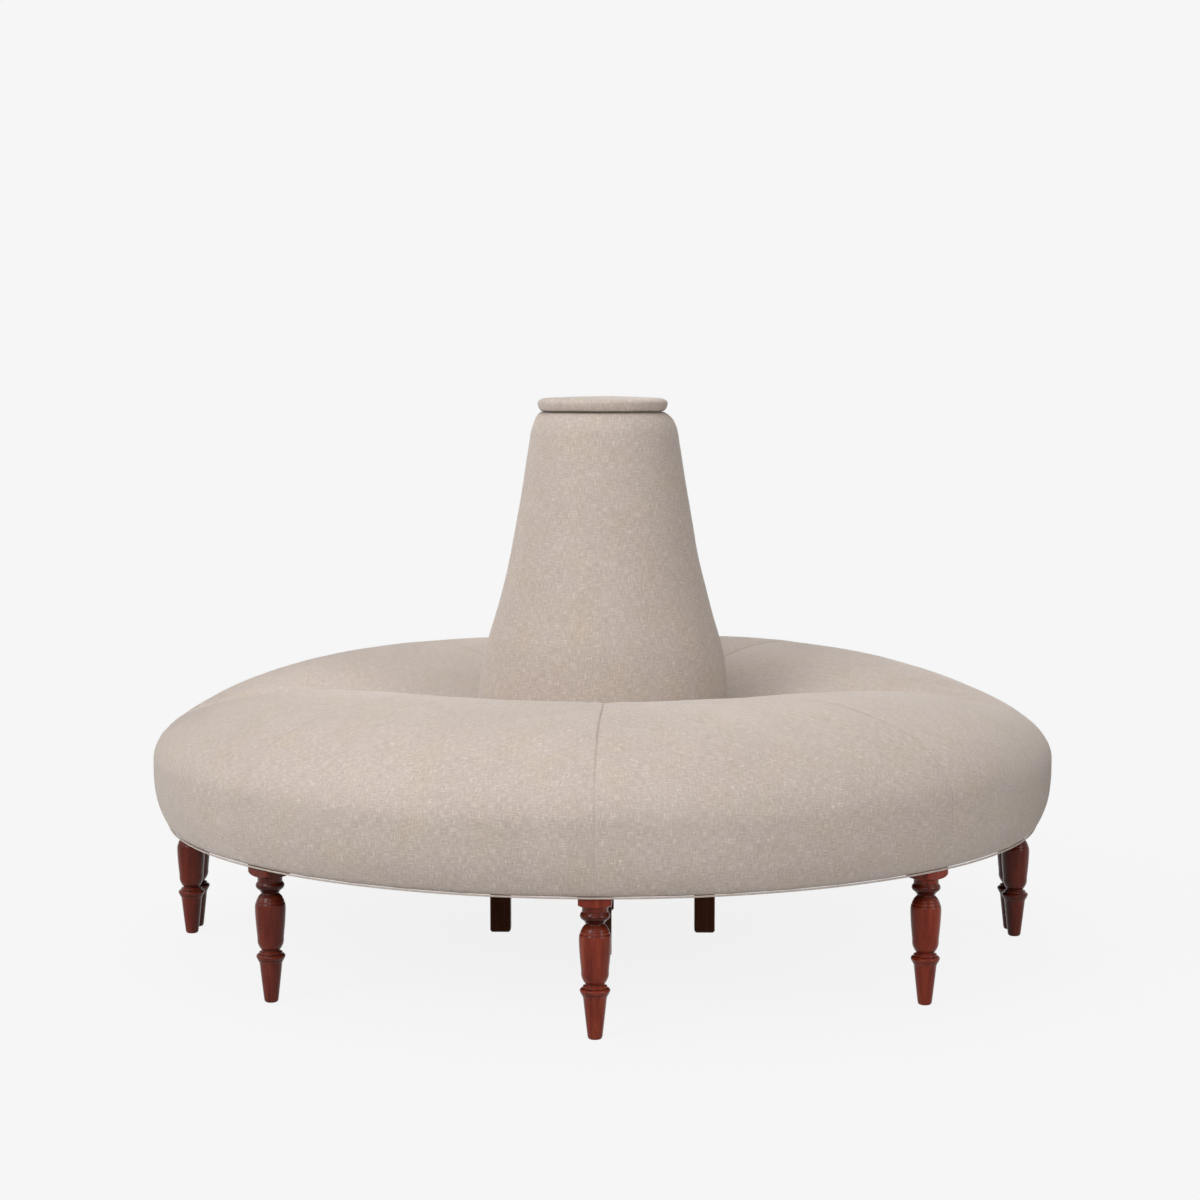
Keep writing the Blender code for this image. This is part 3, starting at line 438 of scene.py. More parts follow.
class Material(Nodes):
    """A new material with its Principled shader."""

    def __init__(self, name):
        self.material = bpy.data.materials.new(name)
        self.material.use_nodes = True
        super().__init__(self.material.node_tree)
        self.shader = self.tree.nodes["Principled BSDF"]

    def finish(self, color, roughness, normal=None, **others):
        values = {"Base Color": color, "Roughness": roughness, **others}
        if normal:
            values["Normal"] = normal
        for key, value in values.items():
            self.put(self.shader.inputs[key.replace("_", " ")], value)
        return self.material


def linen_material():
    """Oatmeal linen: a plain weave of uneven threads, with lighter and darker slubs both ways."""
    m = Material("linen")
    uv = m.cloth()
    along = m.split(uv)
    drift = m.around_zero(m.noise(uv, (9, 9, 9)), THREAD_DRIFT)
    u, v = m.total(along["X"], drift), m.total(along["Y"], drift)
    cell = m.total(*(m.math("FLOOR", m.math("DIVIDE", place, THREAD_PITCH)) for place in (u, v)))
    over = m.math("MODULO", m.math("ABSOLUTE", cell), 2.0)
    under = m.minus(1.0, over)
    weave = m.total(m.times(m.ridges(u, THREAD_PITCH), over), m.times(m.ridges(v, THREAD_PITCH), under))
    warp = m.slubs(uv, (820, 75, 1), (0, 0, 0))
    weft = m.slubs(uv, (75, 820, 1), (7, 3, 0))
    fleck = m.noise(uv, (560, 560, 1), 2.0, 0.6)
    patch = m.noise(uv, (22, 22, 1), 3.0, 0.6)
    cloud = m.noise(uv, (4.5, 4.5, 1), 2.0, 0.5)
    tone = m.total(
        0.5, m.around_zero(warp, 0.54), m.around_zero(weft, 0.54), m.around_zero(fleck, 0.14),
        m.around_zero(patch, 0.12), m.around_zero(cloud, 0.12), m.around_zero(weave, 0.14),
    )
    stops = [
        (0.0, (0.300, 0.238, 0.201)), (0.30, (0.458, 0.378, 0.330)), (0.5, (0.580, 0.490, 0.438)),
        (0.70, (0.690, 0.600, 0.542)), (1.0, (0.830, 0.750, 0.694)),
    ]
    spread = m.minus(m.noise(uv, (17, 17, 1), 2.0, location=(3, 9, 0)), 0.48)
    straw = m.math("MULTIPLY", spread, 3.0, clamp=True)
    color = m.mix(straw, m.ramp(tone, stops), (0.99, 0.985, 0.90), "MULTIPLY")
    # Painted shade: the colour darkens towards dark brown in the seams, in the hollow beside the column, at
    # the column's top under the cap and under the cap's lower edge
    color = m.mix(m.times(m.attribute("groove"), 0.85), color, (0.10, 0.075, 0.06))
    height = m.total(m.times(weave, 0.7), m.times(warp, 0.6), m.times(weft, 0.6), m.times(fleck, 0.2))
    return m.finish(
        color, 0.92, m.bump(height, 0.0005, 0.6), Sheen_Weight=0.85, Sheen_Roughness=0.22,
        Sheen_Tint=(0.98, 0.91, 0.85, 1), Specular_IOR_Level=0.2,
    )


def mahogany_material():
    """Glossy red-stained mahogany: streaks along the leg, stained darker in the turned grooves with painted
    shade there too, and painted shade at the neck under the seat.
    """
    m = Material("mahogany")
    place = m.place()
    own = m.add("ObjectInfo").outputs["Random"]
    shift = m.add("CombineXYZ", {"X": own, "Z": own})
    shifted = m.add("VectorMath", {0: place, 1: shift}, operation="ADD")
    streak = m.noise(shifted, (95, 95, 6), 5.0, 0.62, distortion=0.5)
    pore = m.noise(shifted, (900, 900, 40), 3.0, 0.7)
    cloud = m.noise(shifted, (26, 26, 14), 2.0, 0.5)
    value = m.total(m.times(streak, 0.62), m.times(pore, 0.16), m.times(cloud, 0.22))
    stops = [
        (0.33, (0.074, 0.0090, 0.0052)), (0.5, (0.142, 0.0210, 0.0110)), (0.68, (0.208, 0.0430, 0.0200)),
    ]
    # Each leg's colour is made lighter and redder by its own share, given in LEGS
    color = m.mix(m.attribute("leg_tone"), m.ramp(value, stops), (1.95, 1.75, 1.45), "MULTIPLY")
    # Stained darker and painted shade in the turned grooves, and painted shade at the neck under the seat
    color = m.mix(m.attribute("groove"), color, (0.010, 0.0022, 0.0016))
    relief = m.bump(m.total(streak, m.times(pore, 0.5)), 0.00008, 0.5)
    return m.finish(color, m.total(0.20, m.around_zero(cloud, 0.14)), relief, Specular_IOR_Level=0.16)


def dark_wood_material():
    """Dark stained wood with its grain up the leg."""
    m = Material("dark_wood")
    grain = m.noise(m.place(), (110, 110, 8), 5.0, 0.62, distortion=0.5)
    color = m.ramp(grain, [(0.3, (0.120, 0.038, 0.018)), (0.7, (0.210, 0.070, 0.034))])
    roughness = m.total(0.34, m.around_zero(grain, 0.16))
    return m.finish(color, roughness, m.bump(grain, 0.0001, 0.5), Specular_IOR_Level=0.05)


def beech_material(curved):
    """Steamed beech with its grain along the rail, which is round the ring on a curved one."""
    m = Material("beech_curved" if curved else "beech")
    place = m.place()
    if curved:
        part = m.split(place)
        ring, turn = m.polar(part)
        place = m.add("CombineXYZ", {"X": ring, "Y": m.times(turn, MEAN_RADIUS), "Z": part["Z"]})
    grain = m.noise(place, (120, 9, 90) if curved else (60, 60, 120), 5.0, 0.6, distortion=0.4)
    fleck = m.noise(place, (900, 160, 500), 2.0, 0.7)
    value = m.total(m.times(grain, 0.8), m.times(fleck, 0.2))
    stops = [(0.3, (0.40, 0.245, 0.130)), (0.5, (0.50, 0.330, 0.190)), (0.72, (0.61, 0.43, 0.27))]
    roughness = m.total(0.55, m.around_zero(grain, 0.2))
    return m.finish(m.ramp(value, stops), roughness, m.bump(value, 0.0002, 0.5))


def plywood_material(name, upright, grain_scale):
    """Birch plywood: pale faces, and thin dark glue lines where the layers end."""
    m = Material(name)
    place = m.place()
    part = m.split(place)
    grain = m.noise(place, grain_scale, 4.0, 0.6, distortion=0.5)
    face = m.ramp(grain, [(0.3, (0.50, 0.35, 0.20)), (0.7, (0.66, 0.50, 0.32))])
    if upright:
        ring, turn = m.polar(part)
        bay = m.minus(m.math("FLOORED_MODULO", m.total(turn, RIB_BAY / 4), RIB_BAY), RIB_BAY / 2)
        depth, edge = m.times(ring, m.math("SINE", bay)), 1.0
    else:
        side = m.math("ABSOLUTE", m.split(m.add("NewGeometry").outputs["Normal"])["Z"])
        depth, edge = part["Z"], m.math("LESS_THAN", side, 0.5)
    layer = m.math("FRACT", m.times(m.total(depth, 1.0), 1 / PLY))
    line = m.times(m.math("LESS_THAN", layer, 0.16), m.times(edge, 0.7))
    return m.finish(m.mix(line, face, (0.16, 0.09, 0.045)), 0.62, m.bump(grain, 0.0002, 0.5))


def jute_material():
    """Jute webbing: a coarse brown weave with loose hairs and a red stripe near each edge."""
    m = Material("jute")
    uv = m.cloth()
    along = m.split(uv)
    weave = m.times(m.ridges(along["X"], JUTE_PITCH), m.ridges(along["Y"], JUTE_PITCH))
    hair = m.noise(uv, (500, 500, 1), 3.0, 0.7)
    from_stripe = m.math("ABSOLUTE", m.minus(along["X"], JUTE_STRIPE))
    stripe = m.math("LESS_THAN", from_stripe, JUTE_STRIPE_WIDTH)
    value = m.total(m.times(weave, 0.55), m.times(hair, 0.45))
    color = m.ramp(value, [(0.15, (0.16, 0.095, 0.045)), (0.8, (0.48, 0.34, 0.19))])
    color = m.mix(m.times(stripe, 0.6), color, (0.20, 0.045, 0.025))
    return m.finish(color, 0.9, m.bump(value, 0.0008, 0.8))


def foam_material():
    """Cream reconstituted foam with open pores and faint mottling."""
    m = Material("foam")
    place = m.place()
    pores = m.add("TexVoronoi", {"Vector": place, "Scale": 420.0})
    color = m.ramp(m.noise(place, (14, 14, 14), 3.0), [(0.3, (0.70, 0.63, 0.42)), (0.7, (0.82, 0.76, 0.56))])
    return m.finish(color, 0.95, m.bump(pores, 0.001, 0.5))


def black_cloth_material():
    """Black non-woven cloth with fine embossed dots."""
    m = Material("black_cloth")
    place = m.place()
    dots = m.add("TexVoronoi", {"Vector": place, "Scale": 620.0, "Randomness": 0.25})
    fibre = m.noise(place, (240, 240, 240), 4.0, 0.7)
    color = m.ramp(fibre, [(0.3, (0.009, 0.009, 0.010)), (0.75, (0.028, 0.028, 0.030))])
    return m.finish(color, 0.93, m.bump(m.total(dots, m.times(fibre, 0.5)), 0.0003, 0.6))


def steel_material():
    """Zinc-plated steel with a faint mottled sheen."""
    m = Material("steel")
    grain = m.noise(m.place(), (300, 300, 300), 3.0)
    color = m.ramp(grain, [(0.3, (0.48, 0.49, 0.52)), (0.7, (0.62, 0.63, 0.66))])
    return m.finish(color, m.total(0.26, m.times(grain, 0.2)), Metallic=1.0)


MATERIALS = {
    "linen": linen_material(),
    "mahogany": mahogany_material(),
    "dark_wood": dark_wood_material(),
    "beech": beech_material(False),
    "beech_curved": beech_material(True),
    "plywood": plywood_material("plywood", False, (9, 130, 60)),
    "plywood_rib": plywood_material("plywood_rib", True, (110, 110, 8)),
    "jute": jute_material(),
    "foam": foam_material(),
    "black_cloth": black_cloth_material(),
    "steel": steel_material(),
}


# Meshes

class Grid:
    """Points [i][j] and UVs in metres: i runs along the piece and j round or across its section."""

    def __init__(self, points, uv=None, groove=None, across_closed=True, along_closed=False, capped=False):
        rows, count = points.shape[:2]
        self.points = points
        self.uv = np.zeros((rows + 1, count + 1, 2)) if uv is None else uv
        # The shade value darkens the material at each point: it is painted shade
        self.groove = np.zeros((rows, count)) if groove is None else groove
        self.across_closed = across_closed
        self.along_closed = along_closed
        self.capped = capped

    def faces(self, first):
        rows, count = self.points.shape[:2]
        index = first + np.arange(rows * count).reshape(rows, count)
        i = np.arange(rows if self.along_closed else rows - 1)
        j = np.arange(count if self.across_closed else count - 1)
        i, j = np.meshgrid(i, j, indexing="ij")
        after, beside = (i + 1) % rows, (j + 1) % count
        quads = np.stack([index[i, j], index[after, j], index[after, beside], index[i, beside]], -1)
        faces = quads.reshape(-1, 4).tolist()
        corners = [self.uv[i, j], self.uv[i + 1, j], self.uv[i + 1, j + 1], self.uv[i, j + 1]]
        uv = np.stack(corners, 2).reshape(-1, 2)
        if self.capped:
            faces += [index[0].tolist(), index[-1].tolist()[::-1]]
            uv = np.concatenate([uv, self.points[0][:, [0, 2]], self.points[-1][::-1][:, [0, 2]]])
        return faces, uv


def grid_mesh(name, grids):
    """One mesh of closed shells, with their normals out."""
    points, faces, uv = [], [], []
    for grid in grids:
        more, more_uv = grid.faces(sum(len(p) for p in points))
        points.append(grid.points.reshape(-1, 3))
        faces += more
        uv.append(more_uv)
    mesh = bpy.data.meshes.new(name)
    mesh.from_pydata(np.concatenate(points).tolist(), [], faces)
    layer = mesh.uv_layers.new(name="cloth")
    layer.data.foreach_set("uv", np.concatenate(uv).astype(np.float32).ravel())
    shade = mesh.attributes.new("groove", "FLOAT", "POINT")
    shade.data.foreach_set("value", np.concatenate([g.groove.ravel() for g in grids]).astype(np.float32))
    shape = bmesh.new()
    shape.from_mesh(mesh)
    bmesh.ops.remove_doubles(shape, verts=shape.verts, dist=SAME_POINT)
    bmesh.ops.recalc_face_normals(shape, faces=shape.faces)
    shape.to_mesh(mesh)
    shape.free()
    mesh.shade_smooth()
    return mesh


def shape_mesh(name, shape):
    mesh = bpy.data.meshes.new(name)
    shape.to_mesh(mesh)
    shape.free()
    return mesh


def cut(shape, point, normal, **settings):
    geometry = shape.verts[:] + shape.edges[:] + shape.faces[:]
    bmesh.ops.bisect_plane(shape, geom=geometry, plane_co=point, plane_no=normal, **settings)


def smooth_below(mesh, degrees):
    mesh.shade_smooth()
    mesh.set_sharp_from_angle(angle=radians(degrees))


def add_object(name, mesh, slot, replaced=(), body="sofa"):
    """A visible piece in the material of its slot."""
    item = linked(name, mesh)
    mesh.materials.append(MATERIALS[slot])
    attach(item, body)
    if replaced:
        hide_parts(*replaced)
    return item


def add_grids(name, grids, slot, replaced=(), body="sofa"):
    return add_object(name, grid_mesh(name, grids), slot, replaced, body)


def ripples(points, scale, seed):
    """Smooth noise from about -1 to 1 at each point."""
    offset = Vector((seed * 3.7, seed * 1.3, seed * 2.1))
    flat = [noise.noise(Vector(point) * scale + offset) for point in points.reshape(-1, 3)]
    return np.array(flat).reshape(points.shape[:-1])


def waves(points, table, shift=0):
    return sum(height * ripples(points, scale, seed + shift) for height, scale, seed in table)


def reach(section):
    """Length along a polyline, at each of its points."""
    return np.concatenate([[0], np.cumsum(np.linalg.norm(np.diff(section, axis=0), axis=1))])


def resampled(section, step):
    """A polyline of (radius, height), at an even step along it."""
    section = np.array(section, float)
    length = reach(section)
    at = np.linspace(0, length[-1], max(int(round(length[-1] / step)), 1) + 1)
    return np.stack([np.interp(at, length, section[:, 0]), np.interp(at, length, section[:, 1])], 1)


def section_normals(section, before, after):
    """Outward normals of a section that runs up its outer side, and zero for the points around it."""
    step = np.gradient(section, axis=0)
    step /= np.hypot(step[:, 0], step[:, 1])[:, None]
    return np.pad(np.stack([step[:, 1], -step[:, 0]], 1), ((before, after), (0, 0)))


def laid_out(loop, azimuths):
    """Azimuth, radius and height of each point, where a loop of (radius, height) stands at each azimuth."""
    base = azimuths[:, None] + np.zeros(len(loop))
    return base, loop[:, 0] + 0 * base, loop[:, 1] + 0 * base


def held_at_ends(length, last, low, high):
    """1 for cloth that is free to move, and down to 0 at both ends of its section."""
    return smoothstep(0, low, length) * smoothstep(last, last - high, length)


def quarter(middle, edge, level, peak, turn, power=1.0):
    """Quarter of an oval, or of a fuller form: over its middle at turn 0, at its edge at a right angle."""
    radius = middle + (edge - middle) * np.sin(turn) ** power
    return stacked(radius, level + (peak - level) * np.maximum(np.cos(turn), 0) ** power)


# Cloth simulation

def settle(points, pinned, pressure, slack, along_closed=False):
    """Outward movement of a grid of cloth, blown against its pinned points.

    Slack is the share by which the cloth is cut larger than the form it covers.
    """
    faces = Grid(points, across_closed=False, along_closed=along_closed).faces(0)[0]
    mesh = bpy.data.meshes.new("cloth")
    mesh.from_pydata(points.reshape(-1, 3).tolist(), [], faces)
    item = linked("cloth", mesh)
    group = item.vertex_groups.new(name="pinned")
    group.add(np.flatnonzero(pinned).tolist(), 1.0, "REPLACE")
    cloth = item.modifiers.new("cloth", "CLOTH")
    for key, value in CLOTH.items():
        setattr(cloth.settings, key, value)
    cloth.settings.uniform_pressure_force = pressure
    cloth.settings.shrink_min = -slack
    cloth.settings.effector_weights.gravity = 0
    cloth.collision_settings.use_collision = False
    cloth.point_cache.frame_end = CLOTH_FRAMES
    for number in range(1, CLOTH_FRAMES + 1):
        bpy.context.scene.frame_set(number)
    settled = item.evaluated_get(bpy.context.evaluated_depsgraph_get()).to_mesh()
    moved, normals = np.empty(points.size), np.empty(points.size)
    settled.vertices.foreach_get("co", moved)
    mesh.vertex_normals.foreach_get("vector", normals)
    bpy.data.objects.remove(item)
    bpy.data.meshes.remove(mesh)
    bpy.context.scene.frame_set(1)
    return ((moved.reshape(points.shape) - points) * normals.reshape(points.shape)).sum(-1)


def cloth_lift(moves, rows, columns, limit, azimuths, length):
    """A coarse grid's movement on a finer one, limited smoothly, also where it would go into the foam."""
    moves = limit * np.tanh(np.maximum(moves, -limit) / limit)
    across = np.array([np.interp(length, columns, row) for row in moves])
    return np.array([np.interp(azimuths, rows, column) for column in across.T]).T


# Seat covers

def seat_section():
    """Outer side of the seat's section, from the hem over the crest to the column."""
    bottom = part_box("front_seat_pad")[0].z
    share = np.linspace(1, 0, TUCK_POINTS)[:-1]
    radius = SEAT_RADIUS - (SEAT_RADIUS - HEM_RADIUS) * share ** TUCK_POWER
    tuck = stacked(radius, BULGE_HEIGHT - (BULGE_HEIGHT - bottom) * share)
    turn = np.linspace(0, RIGHT_ANGLE, CURVE_POINTS)
    crown = quarter(CREST_RADIUS, SEAT_RADIUS, BULGE_HEIGHT, SEAT_HEIGHT, turn, CROWN_POWER)
    trough = quarter(CREST_RADIUS, SEAT_WALL_RADIUS, TROUGH_HEIGHT, SEAT_HEIGHT, turn, TROUGH_POWER)
    return np.concatenate([tuck, crown[:0:-1], trough])


def seat_underside():
    """Lower side of the section: over the base foam, and down behind the hem."""
    foam_low, foam_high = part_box("front_base_foam")
    deck, roof = foam_low.z, foam_high.z + HAIR
    foam_outer = -foam_low.y + HAIR
    foam_inner = SEAT_WALL_RADIUS + BASE_FOAM_INSET - FOAM_POCKET_CLEARANCE
    skirt = HEM_RADIUS - SKIRT_THICKNESS
    return [
        (SEAT_WALL_RADIUS, deck), (foam_inner, deck), (foam_inner, roof), (foam_outer, roof),
        (foam_outer, deck), (skirt, deck), (skirt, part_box("front_seat_pad")[0].z),
    ]


def seat_azimuth(base, radius, top):
    """True azimuth of a station. The seams lean towards the middle on the inner side of the seat."""
    inside = smoothstep(*SEAM_LEAN_RADII, radius) * top
    azimuth = base - SEAM_LEAN * inside * np.sin(2 * base)
    azimuth += MIDDLE_SEAM_SWAY * inside * np.clip(1 - np.abs(base) / PANEL, 0, 1)
    return clear_of_joint(azimuth, radius)


def clear_of_joint(azimuth, radius):
    """An azimuth drawn in, so that both ends of a half stay clear of the joint."""
    return azimuth * (1 - np.arcsin(JOINT_SETBACK / radius) / RIGHT_ANGLE)


def joint_distance(radius, azimuth):
    return np.maximum(radius * np.cos(azimuth) - JOINT_SETBACK, 0)


def end_sink(height, distance):
    """Sinking of the crest towards the joint. The sides of the crown sink less."""
    rise = np.clip(height - BULGE_HEIGHT, 0, None) / (SEAT_HEIGHT - BULGE_HEIGHT)
    near = np.clip(1 - distance / END_DROP_LENGTH, 0, 1)
    return END_DROP * rise ** END_DROP_SIDE_POWER * near ** END_DROP_POWER


def seat_stations():
    """Azimuths along a half: close at the seams and at the ends, even between."""
    beside = np.array(BESIDE_SEAM) / MEAN_RADIUS
    end = np.array(BESIDE_END) / MEAN_RADIUS
    right = np.concatenate([
        beside,
        np.linspace(beside[-1], PANEL - beside[-1], BETWEEN_SEAMS)[1:-1],
        PANEL - beside[::-1],
        PANEL + beside[1:],
        np.linspace(PANEL + beside[-1], RIGHT_ANGLE - end[-1], BETWEEN_SEAMS)[1:-1],
        RIGHT_ANGLE - end[::-1],
    ])
    return np.concatenate([-right[:0:-1], right])


def seat_cloth():
    """Movement of the seat's cloth between its seams, with the grid that it is given on."""
    section = resampled(seat_section(), CLOTH_STEP)
    steps = int(round(PANEL * MEAN_RADIUS / CLOTH_STEP))
    azimuths = np.linspace(-RIGHT_ANGLE, RIGHT_ANGLE, 4 * steps + 1)
    base, radius, height = laid_out(section, azimuths)
    azimuth = seat_azimuth(base, radius, 1.0)
    sink = end_sink(height, joint_distance(radius, azimuth))
    points = around(radius, azimuth, height - sink)
    pinned = np.zeros(points.shape[:2], bool)
    pinned[[0, -1]] = pinned[:, [0, -1]] = True
    pinned[steps:-1:steps, ::2] = True
    return settle(points, pinned, SEAT_PRESSURE, SEAT_SLACK), azimuths, reach(section)


def seam_wander(base, radius, length, back):
    """Turn of the stations beside a seam, which isn't sewn quite straight."""
    turn = np.zeros_like(base)
    for number, seam in enumerate(SEAMS):
        sway = SEAM_WANDER * ripples(stacked(length, 0, 0), SEAM_WANDER_SCALE, 5 + number + 10 * back)
        turn += sway * bell((base - seam) * MEAN_RADIUS, SEAM_WANDER_REACH) / radius
    return turn


def seam_top(radius):
    """0 on the outer side of the seat and 1 from the crest inwards, where a seam shows more."""
    return smoothstep(*SEAM_TOP_RADII, radius)


def seat_shade(base, radius, half):
    """Painted shade in the material: thin in the seams, and soft in the hollow that the crown keeps light
    from.
    """
    top = seam_top(radius)
    width = SEAM_SHADE_WIDTH * (1 + SEAM_TOP_WIDENING * top)
    lines = [
        show * bell((base - seam) * MEAN_RADIUS / width, 1) for seam, show in zip(SEAMS, SEAM_SHOW[half])
    ]
    seams = np.max(lines, axis=0) * (SEAM_SIDE_SHADE + SEAM_TOP_SHADE * top)
    return seams + HOLLOW_SHADE * smoothstep(HOLLOW_SHADE_START, SEAT_WALL_RADIUS, radius)


def seam_relief(base, radius, length, half, back):
    """How far the cover is drawn in at the seams, with small puckers beside them."""
    relief = np.zeros_like(base)
    for number, (seam, show) in enumerate(zip(SEAMS, SEAM_SHOW[half])):
        seed = 5 + number + 10 * back
        across = (base - seam) * MEAN_RADIUS
        uneven = 1 + SEAM_UNEVENNESS * ripples(stacked(length, 0, 0), SEAM_UNEVENNESS_SCALE, seed + 3)
        strength = show * uneven * (1 + SEAM_TOP_DEEPENING * seam_top(radius))
        relief += SEAM_DEPTH * strength * np.exp(-np.abs(across) / SEAM_WIDTH)
        relief += SEAM_VALLEY_DEPTH * bell(across, SEAM_VALLEY_WIDTH)
        beside = stacked(across * PUCKER_NARROWING, length, 0)
        pucker = PUCKER_DEPTH * ripples(beside, PUCKER_SCALE, seed + 6)
        relief += pucker * np.exp(-np.abs(across) / PUCKER_REACH)
    return relief


def fold_relief(azimuth, radius):
    """A soft fold that runs from the crest towards the left on the front half."""
    share = (radius - FOLD_START[0]) / (FOLD_END[0] - FOLD_START[0])
    line = FOLD_START[1] + (FOLD_END[1] - FOLD_START[1]) * share
    across = (azimuth - line) * radius
    inside = smoothstep(-0.25, 0.2, share) * smoothstep(1.3, 0.8, share)
    beside = bell(across - FOLD_SWELL_PLACE * FOLD_WIDTH, FOLD_WIDTH)
    return FOLD_DEPTH * inside * (bell(across, FOLD_WIDTH) - FOLD_SWELL * beside)


def back_swell(base, height):
    """The back half's crest stands a little higher on one side and lower beside it."""
    swell = bell(base - SWELL_AZIMUTH, SWELL_WIDTH) - bell(base - DIP_AZIMUTH, SWELL_WIDTH)
    return SWELL * swell * smoothstep(*SWELL_HEIGHTS, height)


def seat_cover(half, rotation, cloth):
    back = int(rotation > 0)
    moves, rows, columns = cloth
    outer = resampled(seat_section(), SEAT_STEP)
    loop = np.concatenate([outer, seat_underside()])
    count = len(outer)
    base, radius, height = laid_out(loop, seat_stations())
    length = reach(loop)
    top = (np.arange(len(loop)) < count).astype(float)
    azimuth = seat_azimuth(base, radius, top) + seam_wander(base, radius, length, back) * top
    distance = joint_distance(radius, azimuth)
    lift = np.zeros_like(base)
    lift[:, :count] = cloth_lift(
        moves[::-1] if back else moves, rows, columns, SEAT_CLOTH_CAP, base[:, 0], length[:count]
    )
    lift -= seam_relief(base, radius, length, half, back)
    lift -= waves(around(radius, azimuth, height), SEAT_WAVES, back)
    lift += back_swell(base, height) if back else -fold_relief(azimuth, radius)
    near = np.clip(1 - distance / END_ROUNDING, 0, 1)
    lift -= END_ROUNDING * (1 - np.sqrt(1 - near ** 2))
    lift *= held_at_ends(length, length[count - 1], *SEAT_FADES)
    lift -= HEM_CREASE_DEPTH * bell(length, HEM_CREASE_WIDTH)
    lift *= top
    normals = section_normals(outer, 0, len(loop) - count)
    radius = radius + normals[:, 0] * lift
    height = height + normals[:, 1] * lift - end_sink(height, distance) * top
    points = around(radius, azimuth + rotation, height)
    panel = np.floor((base + 0.00001) / PANEL)
    across = (base - (panel + 0.5) * PANEL) * radius
    shift_u, shift_v = PANEL_WEAVE_SHIFT
    uv = stacked(across + shift_u * panel + rotation, length + shift_v * panel)
    uv = np.concatenate([uv, uv[:, :1]], 1)
    grid = Grid(points, uv, seat_shade(base, radius, half) * top, capped=True)
    item = add_grids(half + "_seat_cover", [grid], "linen", [half + "_seat_pad"])


def piping(half, rotation):
    """Fabric-covered cord round the lower edge of the cover."""
    low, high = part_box(half + "_hem_welt")
    height, tube = (low.z + high.z) / 2, (high.z - low.z) / 2
    ring = HEM_RADIUS - tube
    end = RIGHT_ANGLE - PIPING_END_GAP / ring
    azimuths = np.linspace(-end, end, PIPING_STATIONS)[:, None]
    turn = np.linspace(0, 2 * pi, PIPING_SIDES, endpoint=False)
    wave = ripples(around(azimuths * 30, 0, rotation), 1.0, 2)
    radius = ring + PIPING_WAVE * wave + tube * np.cos(turn)
    points = around(radius, azimuths + rotation, height + tube * np.sin(turn))
    girth = np.linspace(0, 2 * pi * tube, len(turn) + 1)
    grid = Grid(points, stacked(azimuths * ring, girth), capped=True)
    add_grids(half + "_piping", [grid], "linen", [half + "_hem_welt"])


# Column and cap

def hermite(start, end, height):
    """Radius between two places of the column."""
    length = end[0] - start[0]
    t = (height - start[0]) / length
    return (
        start[1] * (2 * t ** 3 - 3 * t ** 2 + 1) + start[2] * length * (t ** 3 - 2 * t ** 2 + t)
        + end[1] * (3 * t ** 2 - 2 * t ** 3) + end[2] * length * (t ** 3 - t ** 2)
    )


def column_radius(height):
    if height <= COLUMN_FOOT[0]:
        return COLUMN_FOOT[1]
    if height <= COLUMN_FLARE[0]:
        return hermite(COLUMN_FOOT, COLUMN_FLARE, height)
    if height <= COLUMN_ROUNDING_START:
        return hermite(COLUMN_FLARE, COLUMN_SHOULDER, height)
    power = COLUMN_ROUNDING_POWER
    share = min((height - COLUMN_ROUNDING_START) / (COLUMN_HEIGHT - COLUMN_ROUNDING_START), 1)
    width = hermite(COLUMN_FLARE, COLUMN_SHOULDER, COLUMN_ROUNDING_START) - COLUMN_RIM_RADIUS
    return COLUMN_RIM_RADIUS + width * (1 - share ** power) ** (1 / power)


def column_section():
    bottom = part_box("column_pad")[0].z
    turn = np.linspace(0, RIGHT_ANGLE, COLUMN_ROUNDING_POINTS + 1)[1:]
    rounding = COLUMN_ROUNDING_START + (COLUMN_HEIGHT - COLUMN_ROUNDING_START) * np.sin(turn)
    heights = np.append(np.linspace(bottom, COLUMN_ROUNDING_START, CURVE_POINTS), rounding)
    return [(column_radius(height), height) for height in heights]


def column_cloth():
    section = resampled(column_section(), CLOTH_STEP)
    azimuths = np.linspace(-pi, pi, COLUMN_CLOTH_SIDES, endpoint=False)
    base, radius, height = laid_out(section, azimuths)
    points = around(radius, base, height)
    pinned = np.zeros(points.shape[:2], bool)
    pinned[:, [0, -1]] = pinned[0] = True
    moves = settle(points, pinned, COLUMN_PRESSURE, COLUMN_SLACK, along_closed=True)
    return np.concatenate([moves, moves[:1]]), np.append(azimuths, pi), reach(section)


